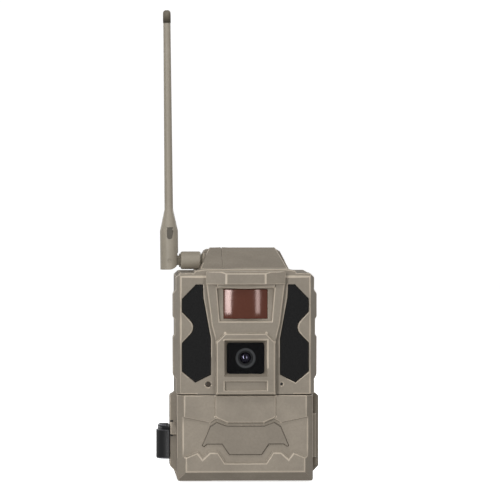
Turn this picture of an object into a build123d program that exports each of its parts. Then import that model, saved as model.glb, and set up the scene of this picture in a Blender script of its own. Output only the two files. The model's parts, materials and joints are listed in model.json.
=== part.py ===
"""A cellular trail camera: housing, door, latch, optics, battery tray and swivel antenna.

Axes: X to the right as the lens side is faced, Y to the back, Z up, in millimetres.
Origin: the mouth of the tripod socket in the underside.
"""
from build123d import *
import math
import os

os.makedirs("parts", exist_ok=True)

# ---- driving dimensions: overall ----
BODY_WIDTH = 89.7          # over the side pads of the upper housing
DOOR_HEIGHT = 53.6
LENS_BAY_HEIGHT = 38.3     # door gap to the top of the lens surround
PIR_BAY_HEIGHT = 30.1      # lens surround to the underside of the visor
VISOR_HEIGHT = 8.0
FACE_DEPTH = 33.0          # socket axis to the face of the upper housing
FLANGE_REACH = 3.8         # side flanges, out from the back housing
WALL = 2.2
PART_GAP = 0.6             # gap between the door and the upper housing
GASKET_T = 0.8
SPLIT_Y = -14.0            # rear plane of the front housing and of the door

# ---- driving dimensions: optics ----
COLUMN_HALF = 18.7
LENS_DIAMETER = 14.0
LENS_GLASS_DIAMETER = 6.8
LENS_RING_T = 1.5
LENS_RISE = 22.5           # door gap to the lens axis
LENS_WINDOW_W = 23.5
LENS_WINDOW_H = 19.6
PIR_WIDTH = 27.6
PIR_HEIGHT = 18.5
PIR_SILL = 8.6
WINDOW_T = 1.6
LED_DIAMETER = 5.0

# ---- driving dimensions: power ----
CELL_DIAMETER = 14.2
CELL_LENGTH = 50.5
CELL_GAP = 0.8
CELL_COLUMNS = 4
CELL_ROWS = 2

# ---- driving dimensions: antenna ----
WHIP_LENGTH = 157.3        # elbow axis to the tip
WHIP_BASE_DIAMETER = 11.3
WHIP_BASE_LENGTH = 18.7    # elbow axis to the start of the taper
WHIP_TAPER = 13.4
WHIP_ROOT_DIAMETER = 5.4
WHIP_TIP_DIAMETER = 4.6
WHIP_LEAN = 0.55           # degrees, outwards
SLEEVE_DIAMETER = 11.2
SLEEVE_LENGTH = 12.85
CONNECTOR_DIAMETER = 6.35
ANTENNA_Y = 12.0
ANTENNA_RISE = 6.9         # shoulder to the antenna's axis

# ---- driving dimensions: fixings and hardware ----
SOCKET_DRILL = 5.1         # tapping size of a 1/4-20 thread
SOCKET_DEPTH = 8.0
INSERT_DIAMETER = 8.0
BOSS_DIAMETER = 12.6
HINGE_PIN_DIAMETER = 2.0
LATCH_PIN_DIAMETER = 2.4
KNUCKLE_DIAMETER = 3.8
SCREW_DIAMETER = 2.9
SCREW_HEAD = 5.5
FOOT_HEIGHT = 0.9
FOOT_DIAMETER = 3.2

# ---- clearances ----
FIT = 0.05                 # radial, shaft in hole
SLIDE = 0.3                # moving piece beside a fixed one
SEAT = 0.15                # fixed piece in its recess
ROOT = 1.0                 # how far an added lump reaches into the wall that carries it
THROUGH = 1.0              # how far a cutter runs past the face it opens

# ---- derived widths ----
PAD_HALF = BODY_WIDTH / 2
SIDE_HALF = PAD_HALF - 1.75          # flank of the upper housing between its pads
WAIST_HALF = PAD_HALF - 1.1          # flank between the upper and the lower pad
FACE_HALF = PAD_HALF - 4.45          # flat face, inside the side chamfers
DOOR_HALF = PAD_HALF - 2.55
REAR_HALF = PAD_HALF - 2.25
FLANGE_HALF = REAR_HALF + FLANGE_REACH

# ---- derived heights ----
FRONT_Z0 = DOOR_HEIGHT + PART_GAP
LENS_Z = FRONT_Z0 + LENS_RISE
SURROUND_TOP = FRONT_Z0 + LENS_BAY_HEIGHT
PIR_Z0 = SURROUND_TOP + PIR_SILL
PIR_Z1 = PIR_Z0 + PIR_HEIGHT
VISOR_Z0 = SURROUND_TOP + PIR_BAY_HEIGHT
VISOR_Z1 = VISOR_Z0 + VISOR_HEIGHT
SHOULDER_Z = VISOR_Z1 - 1.3
CREST_Z = VISOR_Z1 + 1.2             # top of the front housing between the shoulders
ANTENNA_Z = SHOULDER_Z + ANTENNA_RISE

# ---- derived depths, front to back ----
FACE_Y = -FACE_DEPTH
BEZEL_Y = FACE_Y - 3.5
SURROUND_Y = FACE_Y - 5.5
VISOR_Y = FACE_Y - 8.0
VISOR_WING_Y = FACE_Y - 4.2
REAR_FRONT_Y = SPLIT_Y + GASKET_T
DOOR_Y = FACE_Y - 0.2
BAY_WALL = 1.4
BAY_Y0 = BOSS_DIAMETER / 2 + 0.3 + BAY_WALL

# ---- battery tray ----
CELL_PITCH = CELL_DIAMETER + CELL_GAP
TRAY_WALL = 1.4
TRAY_FLOOR = 2.2
TRAY_ROOF = 1.6
STRIP_T = 0.4
SPRING_H = 3.4
NUB_H = 1.0
TRAY_HALF = CELL_COLUMNS * CELL_PITCH / 2 + TRAY_WALL
TRAY_Y0 = BAY_Y0 + SLIDE
TRAY_Y1 = TRAY_Y0 + CELL_ROWS * CELL_PITCH + 2 * TRAY_WALL
CELL_Z0 = TRAY_FLOOR + STRIP_T + SPRING_H
STRIP_Z1 = CELL_Z0 + CELL_LENGTH + 2 * STRIP_T
TRAY_Z1 = STRIP_Z1 + TRAY_ROOF
BAY_Z1 = TRAY_Z1 + 1.9
BAY_HALF = TRAY_HALF + SLIDE
BAY_Y1 = TRAY_Y1 + SLIDE
REAR_Y = BAY_Y1 + WALL

# ---- hinge and latch ----
HINGE_X = DOOR_HALF + SLIDE + KNUCKLE_DIAMETER / 2
HINGE_Y = REAR_FRONT_Y - 0.2
FLANGE_Y1 = 6.0
FLANGE_Z0 = 8.5
FLANGE_Z1 = DOOR_HEIGHT - 1.2
KNUCKLE_Z0 = 13.8
KNUCKLE_Z1 = DOOR_HEIGHT - 12.1
LEVER_Z0 = 12.9
LEVER_Z1 = 31.0
LEVER_TOP = 34.5
LEVER_X = -(FLANGE_HALF + 8.4)       # outermost face of the lever
LUG_RADIUS = 3.2
PIVOT_X = -(FLANGE_HALF + LUG_RADIUS + 0.4)
PIVOT_Y = 4.0
LUG_Z0 = 17.8
LUG_Z1 = 28.2

# ---- roof and antenna ----
ROOF_Y0 = REAR_FRONT_Y + 0.2
ROOF_Y1 = ROOF_Y0 + 31.0
ROOF_TOP = SHOULDER_Z + 15.0
ROOF_TOP_HALF = 20.6
ROOF_BASE_HALF = 28.4
BOSS_FACE_X = -24.9                  # flat seat of the antenna connector
SLEEVE_X1 = BOSS_FACE_X - 1.35
SLEEVE_X0 = SLEEVE_X1 - SLEEVE_LENGTH
ELBOW_REACH = 7.0                    # sleeve end to the elbow axis
ELBOW_X = SLEEVE_X0 - ELBOW_REACH
FORK_SLOT = 4.6
TONGUE_T = FORK_SLOT - 2 * SLIDE

# ---- control box behind the door ----
PANEL_HALF = DOOR_HALF - 7.3
PANEL_Z0 = 6.5
PANEL_Z1 = DOOR_HEIGHT - 4.6
PANEL_T = 1.6
PANEL_Y = REAR_FRONT_Y - 8.3
LCD_W = 26.0
LCD_H = 19.0
KEY_DIAMETER = 6.2
KEY_TRAVEL = 0.4
SD_LENGTH = 32.0
SD_WIDTH = 24.0
SD_T = 2.1
SIM_LENGTH = 15.0
SIM_WIDTH = 12.0
SIM_T = 0.8


def facing(y):
    """The plane across the object at depth y, looking out of its front."""
    return Plane.XZ.offset(-y)


def block(x, y, z, mode=Mode.ADD):
    """A box between the two limits given on each axis."""
    with Locations(((x[0] + x[1]) / 2, (y[0] + y[1]) / 2, (z[0] + z[1]) / 2)):
        Box(x[1] - x[0], y[1] - y[0], z[1] - z[0], mode=mode)


def rod_x(radius, x, y, z, mode=Mode.ADD):
    """A round bar along X."""
    with Locations(Location(((x[0] + x[1]) / 2, y, z), (0, 90, 0))):
        Cylinder(radius, x[1] - x[0], mode=mode)


def rod_y(radius, x, y, z, mode=Mode.ADD):
    """A round bar along Y."""
    with Locations(Location((x, (y[0] + y[1]) / 2, z), (90, 0, 0))):
        Cylinder(radius, y[1] - y[0], mode=mode)


def rod_z(radius, x, y, z, mode=Mode.ADD):
    """A round bar along Z."""
    with Locations((x, y, (z[0] + z[1]) / 2)):
        Cylinder(radius, z[1] - z[0], mode=mode)


def both(points):
    """A right-hand outline, read upwards, closed by its own reflection."""
    return list(points) + [(-x, z) for x, z in reversed(points)]


def save(name, shape):
    """Label a finished piece and write it out under its own name."""
    shape.label = name
    export_step(shape, f"parts/{name}.step")


# =====================================================================
# Outlines shared by the housing, the windows and the seals
# =====================================================================
SHOULDER_RUN = 2.7                   # top corner chamfer, across
SHOULDER_DROP = 2.5                  # top corner chamfer, down
STEP_X = 31.8


def upper_outline(inset):
    """Upper housing from the front, its walls moved in by inset."""
    side = SIDE_HALF - inset
    return both([
        (side, FRONT_Z0 + inset),
        (side, SHOULDER_Z - SHOULDER_DROP - inset * 0.4),
        (side - SHOULDER_RUN, SHOULDER_Z - inset),
        (STEP_X, SHOULDER_Z - inset),
        (STEP_X - 0.6, CREST_Z - 1.0 - inset),
        (25.1, CREST_Z - inset),
    ])


WIN_IN = COLUMN_HALF + 2.65
WIN_OUT = FACE_HALF - 0.85
WIN_Z0 = FRONT_Z0 + 7.15
WIN_Z1 = VISOR_Z0 - 0.1
WIN_TOP_IN = WIN_IN + 5.0
WIN_SPAN = WIN_OUT - WIN_IN
WIN_WAIST_Z = LENS_Z + 19.2


def window_outline(side):
    """Infrared window, waisted on its outer edge; side is 1 for right and -1 for left."""
    span = WIN_SPAN
    points = [
        (WIN_IN, WIN_Z0 + 4.95),
        (WIN_IN + 0.54 * span, WIN_Z0),
        (WIN_OUT, WIN_Z0 + 6.95),
        (WIN_OUT, WIN_WAIST_Z - 9.7),
        (WIN_OUT - 0.285 * span, WIN_WAIST_Z - 4.4),
    ]
    after = [
        (WIN_OUT - 0.285 * span, WIN_WAIST_Z + 4.1),
        (WIN_OUT, WIN_WAIST_Z + 9.5),
        (WIN_OUT, WIN_Z1 - 9.0),
        (WIN_TOP_IN + 0.34 * (WIN_OUT - WIN_TOP_IN), WIN_Z1),
        (WIN_TOP_IN, WIN_Z1),
        (WIN_TOP_IN - 0.3, WIN_Z1 - 8.0),
        (WIN_IN, WIN_Z1 - 33.9),
    ]
    waist = (WIN_OUT - 0.385 * span, WIN_WAIST_Z)
    with BuildSketch(Plane.XY) as outline:
        with BuildLine():
            Polyline(*[(side * x, z) for x, z in points])
            ThreePointArc(
                (side * points[-1][0], points[-1][1]),
                (side * waist[0], waist[1]),
                (side * after[0][0], after[0][1]),
            )
            Polyline(*[(side * x, z) for x, z in after + points[:1]])
        make_face()
    return outline.sketch


def window_face(side, inset):
    """The window outline moved in by inset."""
    with BuildSketch(Plane.XY) as face:
        add(window_outline(side))
        if inset:
            offset(amount=-inset, kind=Kind.INTERSECTION, mode=Mode.REPLACE)
    return face.sketch


COLUMN = both([
    (COLUMN_HALF, FRONT_Z0),
    (COLUMN_HALF, SURROUND_TOP - 5.0),
    (COLUMN_HALF + 2.5, SURROUND_TOP + 4.9),
    (COLUMN_HALF + 4.5, SURROUND_TOP + 20.4),
    (COLUMN_HALF + 5.7, VISOR_Z0),
    (COLUMN_HALF + 5.7, VISOR_Z1),
])
SURROUND = both([
    (COLUMN_HALF - 0.1, FRONT_Z0),
    (COLUMN_HALF - 0.1, SURROUND_TOP - 5.6),
    (COLUMN_HALF - 5.8, SURROUND_TOP),
])
CHAMFER_RUN = 6.0                    # depth of the long side chamfers
SCREW_X = SIDE_HALF - 5.6
FRONT_SCREWS = [(s * SCREW_X, z) for s in (-1, 1) for z in (FRONT_Z0 + 6.1, SHOULDER_Z - 7.8)]
POST_RADIUS = SCREW_DIAMETER / 2 + 1.5
TUBE_RADIUS = SCREW_HEAD / 2 + 1.6
BOARD_POST_RADIUS = 2.2
BOARD_SCREW_RADIUS = 1.0
BOARD_SCREW_HEAD = 1.9               # radius of its head
BOARD_SCREW_LENGTH = 6.0
BOARD_POSTS = [(s * (COLUMN_HALF - 1.4), z) for s in (-1, 1) for z in (FRONT_Z0 + 6.0, SURROUND_TOP + 3.6)]
POST_BITE = 0.2                      # a post's end in the face it stands on
PIR_LEDGE = 1.2                      # rim behind the motion window
BOARD_Y = SPLIT_Y + 2.1
BOARD_T = 1.6
BAFFLE_Y = FACE_Y + 6.0
BAFFLE_T = 1.0
PIR_Z = (PIR_Z0 + PIR_Z1) / 2
STATUS_X = -23.2
STATUS_Z = FRONT_Z0 + 6.3
STATUS_DIAMETER = 3.4
MIC_X = 22.4
MIC_HOLE = 1.7


def side_wedges(edge, flat, y_front, run, z, mode=Mode.SUBTRACT):
    """Long chamfers down both flanks: from flat at the front out to edge, run deep."""
    slope = run / (edge - flat)
    far = edge + 12.0
    for s in (-1, 1):
        with BuildSketch(Plane.XY.offset(z[0]), mode=Mode.PRIVATE) as wedge:
            Polygon(
                (s * (flat - 3.0 / slope), y_front - 3.0),
                (s * far, y_front + (far - flat) * slope),
                (s * far, y_front - 3.0),
                align=None,
            )
        extrude(wedge.sketch, amount=z[1] - z[0], mode=mode)


# =====================================================================
# Front housing
# =====================================================================
PAD_RAMP = 2.4                       # height of the slope at each end of a pad
PAD_RANGES = [
    (FRONT_Z0 + 11.7, WIN_WAIST_Z - 6.2),
    (WIN_WAIST_Z + 6.2, SHOULDER_Z - 12.7),
]

with BuildPart() as front_core:
    with BuildSketch(facing(SPLIT_Y)):
        Polygon(*upper_outline(WALL), align=None)
    extrude(amount=SPLIT_Y - FACE_Y - WALL)
    side_wedges(SIDE_HALF - WALL, FACE_HALF - WALL, FACE_Y + WALL, CHAMFER_RUN, (0, CREST_Z + 5))

with BuildPart() as front_housing:
    with BuildSketch(facing(SPLIT_Y)):
        Polygon(*upper_outline(0), align=None)
    extrude(amount=SPLIT_Y - FACE_Y)
    for s in (-1, 1):
        with BuildSketch(facing(SPLIT_Y)):
            for z0, z1 in PAD_RANGES:
                Polygon(
                    (s * (SIDE_HALF - ROOT), z0 - PAD_RAMP),
                    (s * SIDE_HALF, z0 - PAD_RAMP),
                    (s * PAD_HALF, z0),
                    (s * PAD_HALF, z1),
                    (s * SIDE_HALF, z1 + PAD_RAMP),
                    (s * (SIDE_HALF - ROOT), z1 + PAD_RAMP),
                    align=None,
                )
            Polygon(
                (s * (SIDE_HALF - ROOT), PAD_RANGES[0][1] - 1),
                (s * WAIST_HALF, PAD_RANGES[0][1] - 1),
                (s * WAIST_HALF, PAD_RANGES[1][0] + 1),
                (s * (SIDE_HALF - ROOT), PAD_RANGES[1][0] + 1),
                align=None,
            )
        extrude(amount=SPLIT_Y - FACE_Y)
    side_wedges(SIDE_HALF, FACE_HALF, FACE_Y, CHAMFER_RUN, (0, CREST_Z + 5))
    # the top front edge leans back
    with BuildSketch(Plane.YZ):
        Polygon(
            (FACE_Y - 1, SHOULDER_Z - 2.0),
            (FACE_Y, SHOULDER_Z - 2.0),
            (FACE_Y + 4.0, CREST_Z + 1.0),
            (FACE_Y - 1, CREST_Z + 1.0),
            align=None,
        )
    extrude(amount=BODY_WIDTH, both=True, mode=Mode.SUBTRACT)
    add(front_core.part, mode=Mode.SUBTRACT)
    # window recesses, their openings and the light baffles behind them
    for s in (-1, 1):
        with BuildSketch(facing(BAFFLE_Y)):
            add(window_face(s, -BAFFLE_T))
        extrude(amount=BAFFLE_Y - FACE_Y - 0.8)
        with BuildSketch(facing(FACE_Y + WINDOW_T + 0.6)):
            add(window_face(s, 0))
        extrude(amount=WINDOW_T + 2, mode=Mode.SUBTRACT)
        with BuildSketch(facing(BAFFLE_Y + 1)):
            add(window_face(s, 1.2))
        extrude(amount=12, mode=Mode.SUBTRACT)
    # posts for the housing screws and for the main board, with their pilot holes
    for x, z in FRONT_SCREWS:
        rod_y(POST_RADIUS, x, (FACE_Y + WALL + ROOT, SPLIT_Y), z)
    for x, z in BOARD_POSTS:
        rod_y(BOARD_POST_RADIUS, x, (FACE_Y + WALL - POST_BITE, BOARD_Y), z)
    for x, z in FRONT_SCREWS:
        rod_y(SCREW_DIAMETER / 2 + FIT, x, (FACE_Y + 7.0, SPLIT_Y + THROUGH), z, mode=Mode.SUBTRACT)
    for x, z in BOARD_POSTS:
        rod_y(
            BOARD_SCREW_RADIUS + FIT,
            x,
            (BOARD_Y - BOARD_SCREW_LENGTH - 1.0, BOARD_Y + THROUGH),
            z,
            mode=Mode.SUBTRACT,
        )
    # openings for the motion sensor, the lens, the status lamp and the microphone
    block(
        (-PIR_WIDTH / 2 + PIR_LEDGE, PIR_WIDTH / 2 - PIR_LEDGE),
        (FACE_Y - THROUGH, FACE_Y + WALL + THROUGH),
        (PIR_Z0 + PIR_LEDGE, PIR_Z1 - PIR_LEDGE),
        mode=Mode.SUBTRACT,
    )
    rod_y(
        LENS_DIAMETER / 2 + 0.6,
        0,
        (FACE_Y - THROUGH, FACE_Y + WALL + THROUGH),
        LENS_Z,
        mode=Mode.SUBTRACT,
    )
    rod_y(
        STATUS_DIAMETER / 2 + FIT,
        STATUS_X,
        (FACE_Y - THROUGH, FACE_Y + WALL + THROUGH),
        STATUS_Z,
        mode=Mode.SUBTRACT,
    )
    rod_y(
        MIC_HOLE / 2,
        MIC_X,
        (FACE_Y - THROUGH, FACE_Y + WALL + THROUGH),
        STATUS_Z,
        mode=Mode.SUBTRACT,
    )
save("front_housing", front_housing.part)

# =====================================================================
# Centre bezel: the column that frames the motion sensor and the lens
# =====================================================================
PIR_FRAME_TOP = 18.0
PIR_FRAME_LOW = 16.3
POCKET_HALF = 13.0

with BuildPart() as centre_bezel:
    with BuildSketch(facing(FACE_Y)):
        Polygon(*COLUMN, align=None)
    extrude(amount=FACE_Y - BEZEL_Y)
    with BuildSketch(facing(FACE_Y)):
        Polygon(*SURROUND, align=None)
    extrude(amount=FACE_Y - SURROUND_Y)
    front_faces = centre_bezel.faces().filter_by(Axis.Y).sort_by(Axis.Y)
    chamfer(front_faces[0].outer_wire().edges(), length=0.9)
    # tapered recess round the motion sensor
    with BuildSketch(facing(BEZEL_Y)):
        Polygon(
            (-PIR_FRAME_LOW, PIR_Z0 - 1.6),
            (PIR_FRAME_LOW, PIR_Z0 - 1.6),
            (PIR_FRAME_TOP, PIR_Z1 + 0.7),
            (-PIR_FRAME_TOP, PIR_Z1 + 0.7),
            align=None,
        )
    extrude(amount=-2.4, taper=18, mode=Mode.SUBTRACT)
    block(
        (-PIR_WIDTH / 2, PIR_WIDTH / 2),
        (BEZEL_Y - 1, FACE_Y + 1),
        (PIR_Z0, PIR_Z1),
        mode=Mode.SUBTRACT,
    )
    # funnel, seat and opening for the lens window
    with BuildSketch(facing(SURROUND_Y)):
        with Locations((0, LENS_Z)):
            Rectangle(LENS_WINDOW_W + 3.2, LENS_WINDOW_H + 3.2)
    extrude(amount=-(SURROUND_Y * -1 + FACE_Y + 3.3), taper=22, mode=Mode.SUBTRACT)
    with BuildSketch(facing(FACE_Y + 1)):
        with Locations((0, LENS_Z)):
            RectangleRounded(LENS_WINDOW_W, LENS_WINDOW_H, 2.1)
    extrude(amount=8, mode=Mode.SUBTRACT)
    # pocket under the lens with a sill above it
    block(
        (-POCKET_HALF, POCKET_HALF),
        (SURROUND_Y - 1, SURROUND_Y + 2.2),
        (FRONT_Z0 + 2.6, FRONT_Z0 + 8.2),
        mode=Mode.SUBTRACT,
    )
save("centre_bezel", centre_bezel.part)

# =====================================================================
# Visor: three facets over the motion sensor, with a curved lip below
# =====================================================================
VISOR_HALF = COLUMN_HALF + 5.9
VISOR_FACET = 12.2

with BuildPart() as visor:
    with BuildSketch(Plane.XY.offset(VISOR_Z0)):
        Polygon(
            (-VISOR_HALF, BEZEL_Y),
            (-VISOR_HALF, VISOR_WING_Y),
            (-VISOR_FACET, VISOR_Y),
            (VISOR_FACET, VISOR_Y),
            (VISOR_HALF, VISOR_WING_Y),
            (VISOR_HALF, BEZEL_Y),
            align=None,
        )
    extrude(amount=VISOR_HEIGHT)
    chamfer(visor.faces().sort_by(Axis.Z)[-1].edges().filter_by(Axis.X).sort_by(Axis.Y)[0], length=1.3)
    with BuildSketch(facing(BEZEL_Y)):
        with BuildLine():
            Line((-PIR_FRAME_TOP, VISOR_Z0 + 0.5), (PIR_FRAME_TOP, VISOR_Z0 + 0.5))
            Line((PIR_FRAME_TOP, VISOR_Z0 + 0.5), (PIR_FRAME_TOP, VISOR_Z0 - 1.6))
            ThreePointArc(
                (PIR_FRAME_TOP, VISOR_Z0 - 1.6),
                (0, VISOR_Z0 - 2.6),
                (-PIR_FRAME_TOP, VISOR_Z0 - 1.6),
            )
            Line((-PIR_FRAME_TOP, VISOR_Z0 - 1.6), (-PIR_FRAME_TOP, VISOR_Z0 + 0.5))
        make_face()
    extrude(amount=2.0)
save("visor", visor.part)

# =====================================================================
# Windows
# =====================================================================
with BuildPart() as ir_windows:
    for s in (-1, 1):
        with BuildSketch(facing(FACE_Y + 0.6 + WINDOW_T)):
            add(window_face(s, SEAT))
        extrude(amount=WINDOW_T)
save("ir_windows", ir_windows.part)

PIR_BULGE = 2.0

with BuildPart() as pir_window:
    with BuildSketch(Plane.XY.offset(PIR_Z0 + SEAT)):
        with BuildLine():
            half = PIR_WIDTH / 2 - SEAT
            Line((-half, FACE_Y), (-half, BEZEL_Y + 2.2))
            ThreePointArc((-half, BEZEL_Y + 2.2), (0, BEZEL_Y + 2.2 - PIR_BULGE), (half, BEZEL_Y + 2.2))
            Line((half, BEZEL_Y + 2.2), (half, FACE_Y))
            Line((half, FACE_Y), (half - 1.2, FACE_Y))
            ThreePointArc(
                (half - 1.2, FACE_Y),
                (0, BEZEL_Y + 3.3 - PIR_BULGE),
                (-half + 1.2, FACE_Y),
            )
            Line((-half + 1.2, FACE_Y), (-half, FACE_Y))
        make_face()
    extrude(amount=PIR_HEIGHT - 2 * SEAT)
save("pir_window", pir_window.part)

LENS_WINDOW_T = 1.8

with BuildPart() as lens_window:
    with BuildSketch(facing(FACE_Y)):
        with Locations((0, LENS_Z)):
            RectangleRounded(LENS_WINDOW_W - 2 * SEAT, LENS_WINDOW_H - 2 * SEAT, 2.1 - SEAT)
    extrude(amount=LENS_WINDOW_T)
save("lens_window", lens_window.part)

with BuildPart() as status_lens:
    rod_y(STATUS_DIAMETER / 2, STATUS_X, (FACE_Y - 0.3, FACE_Y + WALL + 0.8), STATUS_Z)
    rod_y(STATUS_DIAMETER / 2 + 1.0, STATUS_X, (FACE_Y + WALL, FACE_Y + WALL + 0.8), STATUS_Z)
    fillet(status_lens.faces().sort_by(Axis.Y)[0].edges(), radius=0.25)
save("status_lens", status_lens.part)

with BuildPart() as microphone:
    rod_y(2.6, MIC_X, (FACE_Y + WALL, FACE_Y + WALL + 2.2), STATUS_Z)
    chamfer(microphone.faces().sort_by(Axis.Y)[-1].edges(), length=0.3)
save("microphone", microphone.part)

# =====================================================================
# Optics and electronics of the upper housing
# =====================================================================
HOLDER_HALF = LENS_DIAMETER / 2 + 2.4
HOLDER_Y0 = FACE_Y + 8.0
SENSOR_BOARD_Y = SPLIT_Y - 2.4
SENSOR_BOARD_T = 1.2
FILTER_Y = SENSOR_BOARD_Y - 4.6
FILTER_SIZE = 8.0
FILTER_T = 0.8
FILTER_TRAVEL = 7.0

with BuildPart() as lens_barrel:
    rod_y(LENS_DIAMETER / 2, 0, (FACE_Y + 0.3, FILTER_Y - 1.0), LENS_Z)
    rod_y(LENS_DIAMETER / 2 - LENS_RING_T, 0, (FACE_Y - 1, FACE_Y + 2.2), LENS_Z, mode=Mode.SUBTRACT)
    rod_y(LENS_GLASS_DIAMETER / 2, 0, (FACE_Y, SPLIT_Y), LENS_Z, mode=Mode.SUBTRACT)
save("lens_barrel", lens_barrel.part)

with BuildPart() as lens_glass:
    rod_y(LENS_GLASS_DIAMETER / 2, 0, (FACE_Y + 1.2, FACE_Y + 4.4), LENS_Z)
    fillet(lens_glass.faces().sort_by(Axis.Y)[0].edges(), radius=0.9)
save("lens_glass", lens_glass.part)

with BuildPart() as lens_holder:
    block(
        (-HOLDER_HALF - FILTER_TRAVEL, HOLDER_HALF),
        (HOLDER_Y0 + 4.0, SENSOR_BOARD_Y),
        (LENS_Z - HOLDER_HALF, LENS_Z + HOLDER_HALF),
    )
    rod_y(HOLDER_HALF, 0, (HOLDER_Y0, HOLDER_Y0 + 4.0), LENS_Z)
    rod_y(LENS_DIAMETER / 2, 0, (HOLDER_Y0 - 1, FILTER_Y - 1.0), LENS_Z, mode=Mode.SUBTRACT)
    rod_y(FILTER_SIZE / 2 - 0.6, 0, (HOLDER_Y0 - 1, SENSOR_BOARD_Y + 1), LENS_Z, mode=Mode.SUBTRACT)
    block(
        (-FILTER_SIZE / 2 - FILTER_TRAVEL - 1.0, FILTER_SIZE / 2 + 1.0),
        (FILTER_Y - SLIDE, FILTER_Y + FILTER_T + SLIDE),
        (LENS_Z - FILTER_SIZE / 2 - SLIDE, LENS_Z + FILTER_SIZE / 2 + SLIDE),
        mode=Mode.SUBTRACT,
    )
    block(
        (-FILTER_SIZE / 2, FILTER_SIZE / 2),
        (FILTER_Y + FILTER_T, SENSOR_BOARD_Y + 1),
        (LENS_Z - FILTER_SIZE / 2, LENS_Z + FILTER_SIZE / 2),
        mode=Mode.SUBTRACT,
    )
save("lens_holder", lens_holder.part)

with BuildPart() as ir_cut_filter:
    block(
        (-FILTER_SIZE / 2, FILTER_SIZE / 2),
        (FILTER_Y, FILTER_Y + FILTER_T),
        (LENS_Z - FILTER_SIZE / 2, LENS_Z + FILTER_SIZE / 2),
    )
    fillet(ir_cut_filter.edges().filter_by(Axis.Y), radius=0.8)
save("ir_cut_filter", ir_cut_filter.part)

with BuildPart() as camera_board:
    block(
        (-HOLDER_HALF - FILTER_TRAVEL, HOLDER_HALF + 1.0),
        (SENSOR_BOARD_Y, SENSOR_BOARD_Y + SENSOR_BOARD_T),
        (LENS_Z - HOLDER_HALF - 1.0, LENS_Z + HOLDER_HALF + 1.0),
    )
    # image sensor at the front, plug to the main board at the back
    block((-3.6, 3.6), (SENSOR_BOARD_Y - 1.3, SENSOR_BOARD_Y), (LENS_Z - 2.9, LENS_Z + 2.9))
    block((-2.8, 2.8), (SENSOR_BOARD_Y - 1.5, SENSOR_BOARD_Y - 1.3), (LENS_Z - 2.1, LENS_Z + 2.1))
    block((-8.0, 8.0), (SENSOR_BOARD_Y + SENSOR_BOARD_T, BOARD_Y), (LENS_Z - 2.2, LENS_Z + 2.2))
save("camera_board", camera_board.part)

# the boards stay clear of the chamfered side wall, which leans in with its thickness
FLANK_SLOPE = (SIDE_HALF - FACE_HALF) / CHAMFER_RUN
FLANK_AT_BAFFLE = FACE_HALF - WALL + (BAFFLE_Y - FACE_Y - WALL) * FLANK_SLOPE
LED_BOARD_GAP = 0.36
LED_BOARD_INSET = round(WIN_OUT + LED_BOARD_GAP - FLANK_AT_BAFFLE, 6)

with BuildPart() as led_boards:
    for s in (-1, 1):
        with BuildSketch(facing(BAFFLE_Y + BOARD_T)):
            add(window_face(s, LED_BOARD_INSET))
        extrude(amount=BOARD_T)
save("led_boards", led_boards.part)

LED_PITCH = LED_DIAMETER + 2.2
LED_ROWS = 7


def led_spots(side):
    """Centres of the infrared lamps, two to a row, clear of the window's edges."""
    spots = []
    for row in range(LED_ROWS):
        z = WIN_Z0 + 11.5 + row * (WIN_Z1 - WIN_Z0 - 21.0) / (LED_ROWS - 1)
        lean = max(0.0, (z - WIN_Z1 + 33.9) / 25.9) * (WIN_TOP_IN - WIN_IN)
        for column in range(2):
            x = WIN_IN + 4.6 + lean + column * LED_PITCH
            waisted = column == 1 and abs(z - WIN_WAIST_Z) < 9.5
            if not waisted and x + LED_DIAMETER / 2 < WIN_OUT - 1.3:
                spots.append((side * x, z))
    return spots


with BuildPart() as ir_leds:
    for x, z in led_spots(-1) + led_spots(1):
        rod_y(LED_DIAMETER / 2, x, (BAFFLE_Y - 2.6, BAFFLE_Y), z)
    tips = ir_leds.faces().filter_by(Axis.Y).group_by(Axis.Y)[0]
    fillet(tips.edges(), radius=LED_DIAMETER * 0.4)
save("ir_leds", ir_leds.part)

PIR_BOARD_Y = FACE_Y + 11.0
PIR_CAN_DIAMETER = 9.2

with BuildPart() as pir_shroud:
    block(
        (-PIR_WIDTH / 2 - 1.2, PIR_WIDTH / 2 + 1.2),
        (FACE_Y + WALL, PIR_BOARD_Y),
        (PIR_Z0 - 1.2, PIR_Z1 + 1.2),
    )
    with BuildSketch(facing(FACE_Y + WALL)):
        with Locations((0, PIR_Z)):
            Rectangle(PIR_WIDTH - 1.0, PIR_HEIGHT - 1.0)
    extrude(amount=-(PIR_BOARD_Y - FACE_Y - WALL), taper=12, mode=Mode.SUBTRACT)
save("pir_shroud", pir_shroud.part)

with BuildPart() as pir_module:
    block(
        (-PIR_WIDTH / 2 - 1.2, PIR_WIDTH / 2 + 1.2),
        (PIR_BOARD_Y, PIR_BOARD_Y + SENSOR_BOARD_T),
        (PIR_Z0 - 1.2, PIR_Z1 + 1.2),
    )
    rod_y(PIR_CAN_DIAMETER / 2, 0, (PIR_BOARD_Y - 0.8, PIR_BOARD_Y), PIR_Z)
    rod_y(PIR_CAN_DIAMETER / 2 - 0.6, 0, (PIR_BOARD_Y - 4.4, PIR_BOARD_Y), PIR_Z)
    block((-2.2, 2.2), (PIR_BOARD_Y - 4.6, PIR_BOARD_Y - 4.0), (PIR_Z - 1.7, PIR_Z + 1.7))
save("pir_module", pir_module.part)

BOARD_HALF = SCREW_X - TUBE_RADIUS - 0.6
BOARD_Z1 = SHOULDER_Z - 5.0
BOARD_Z0 = FRONT_Z0 + WALL + 1.6

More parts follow.
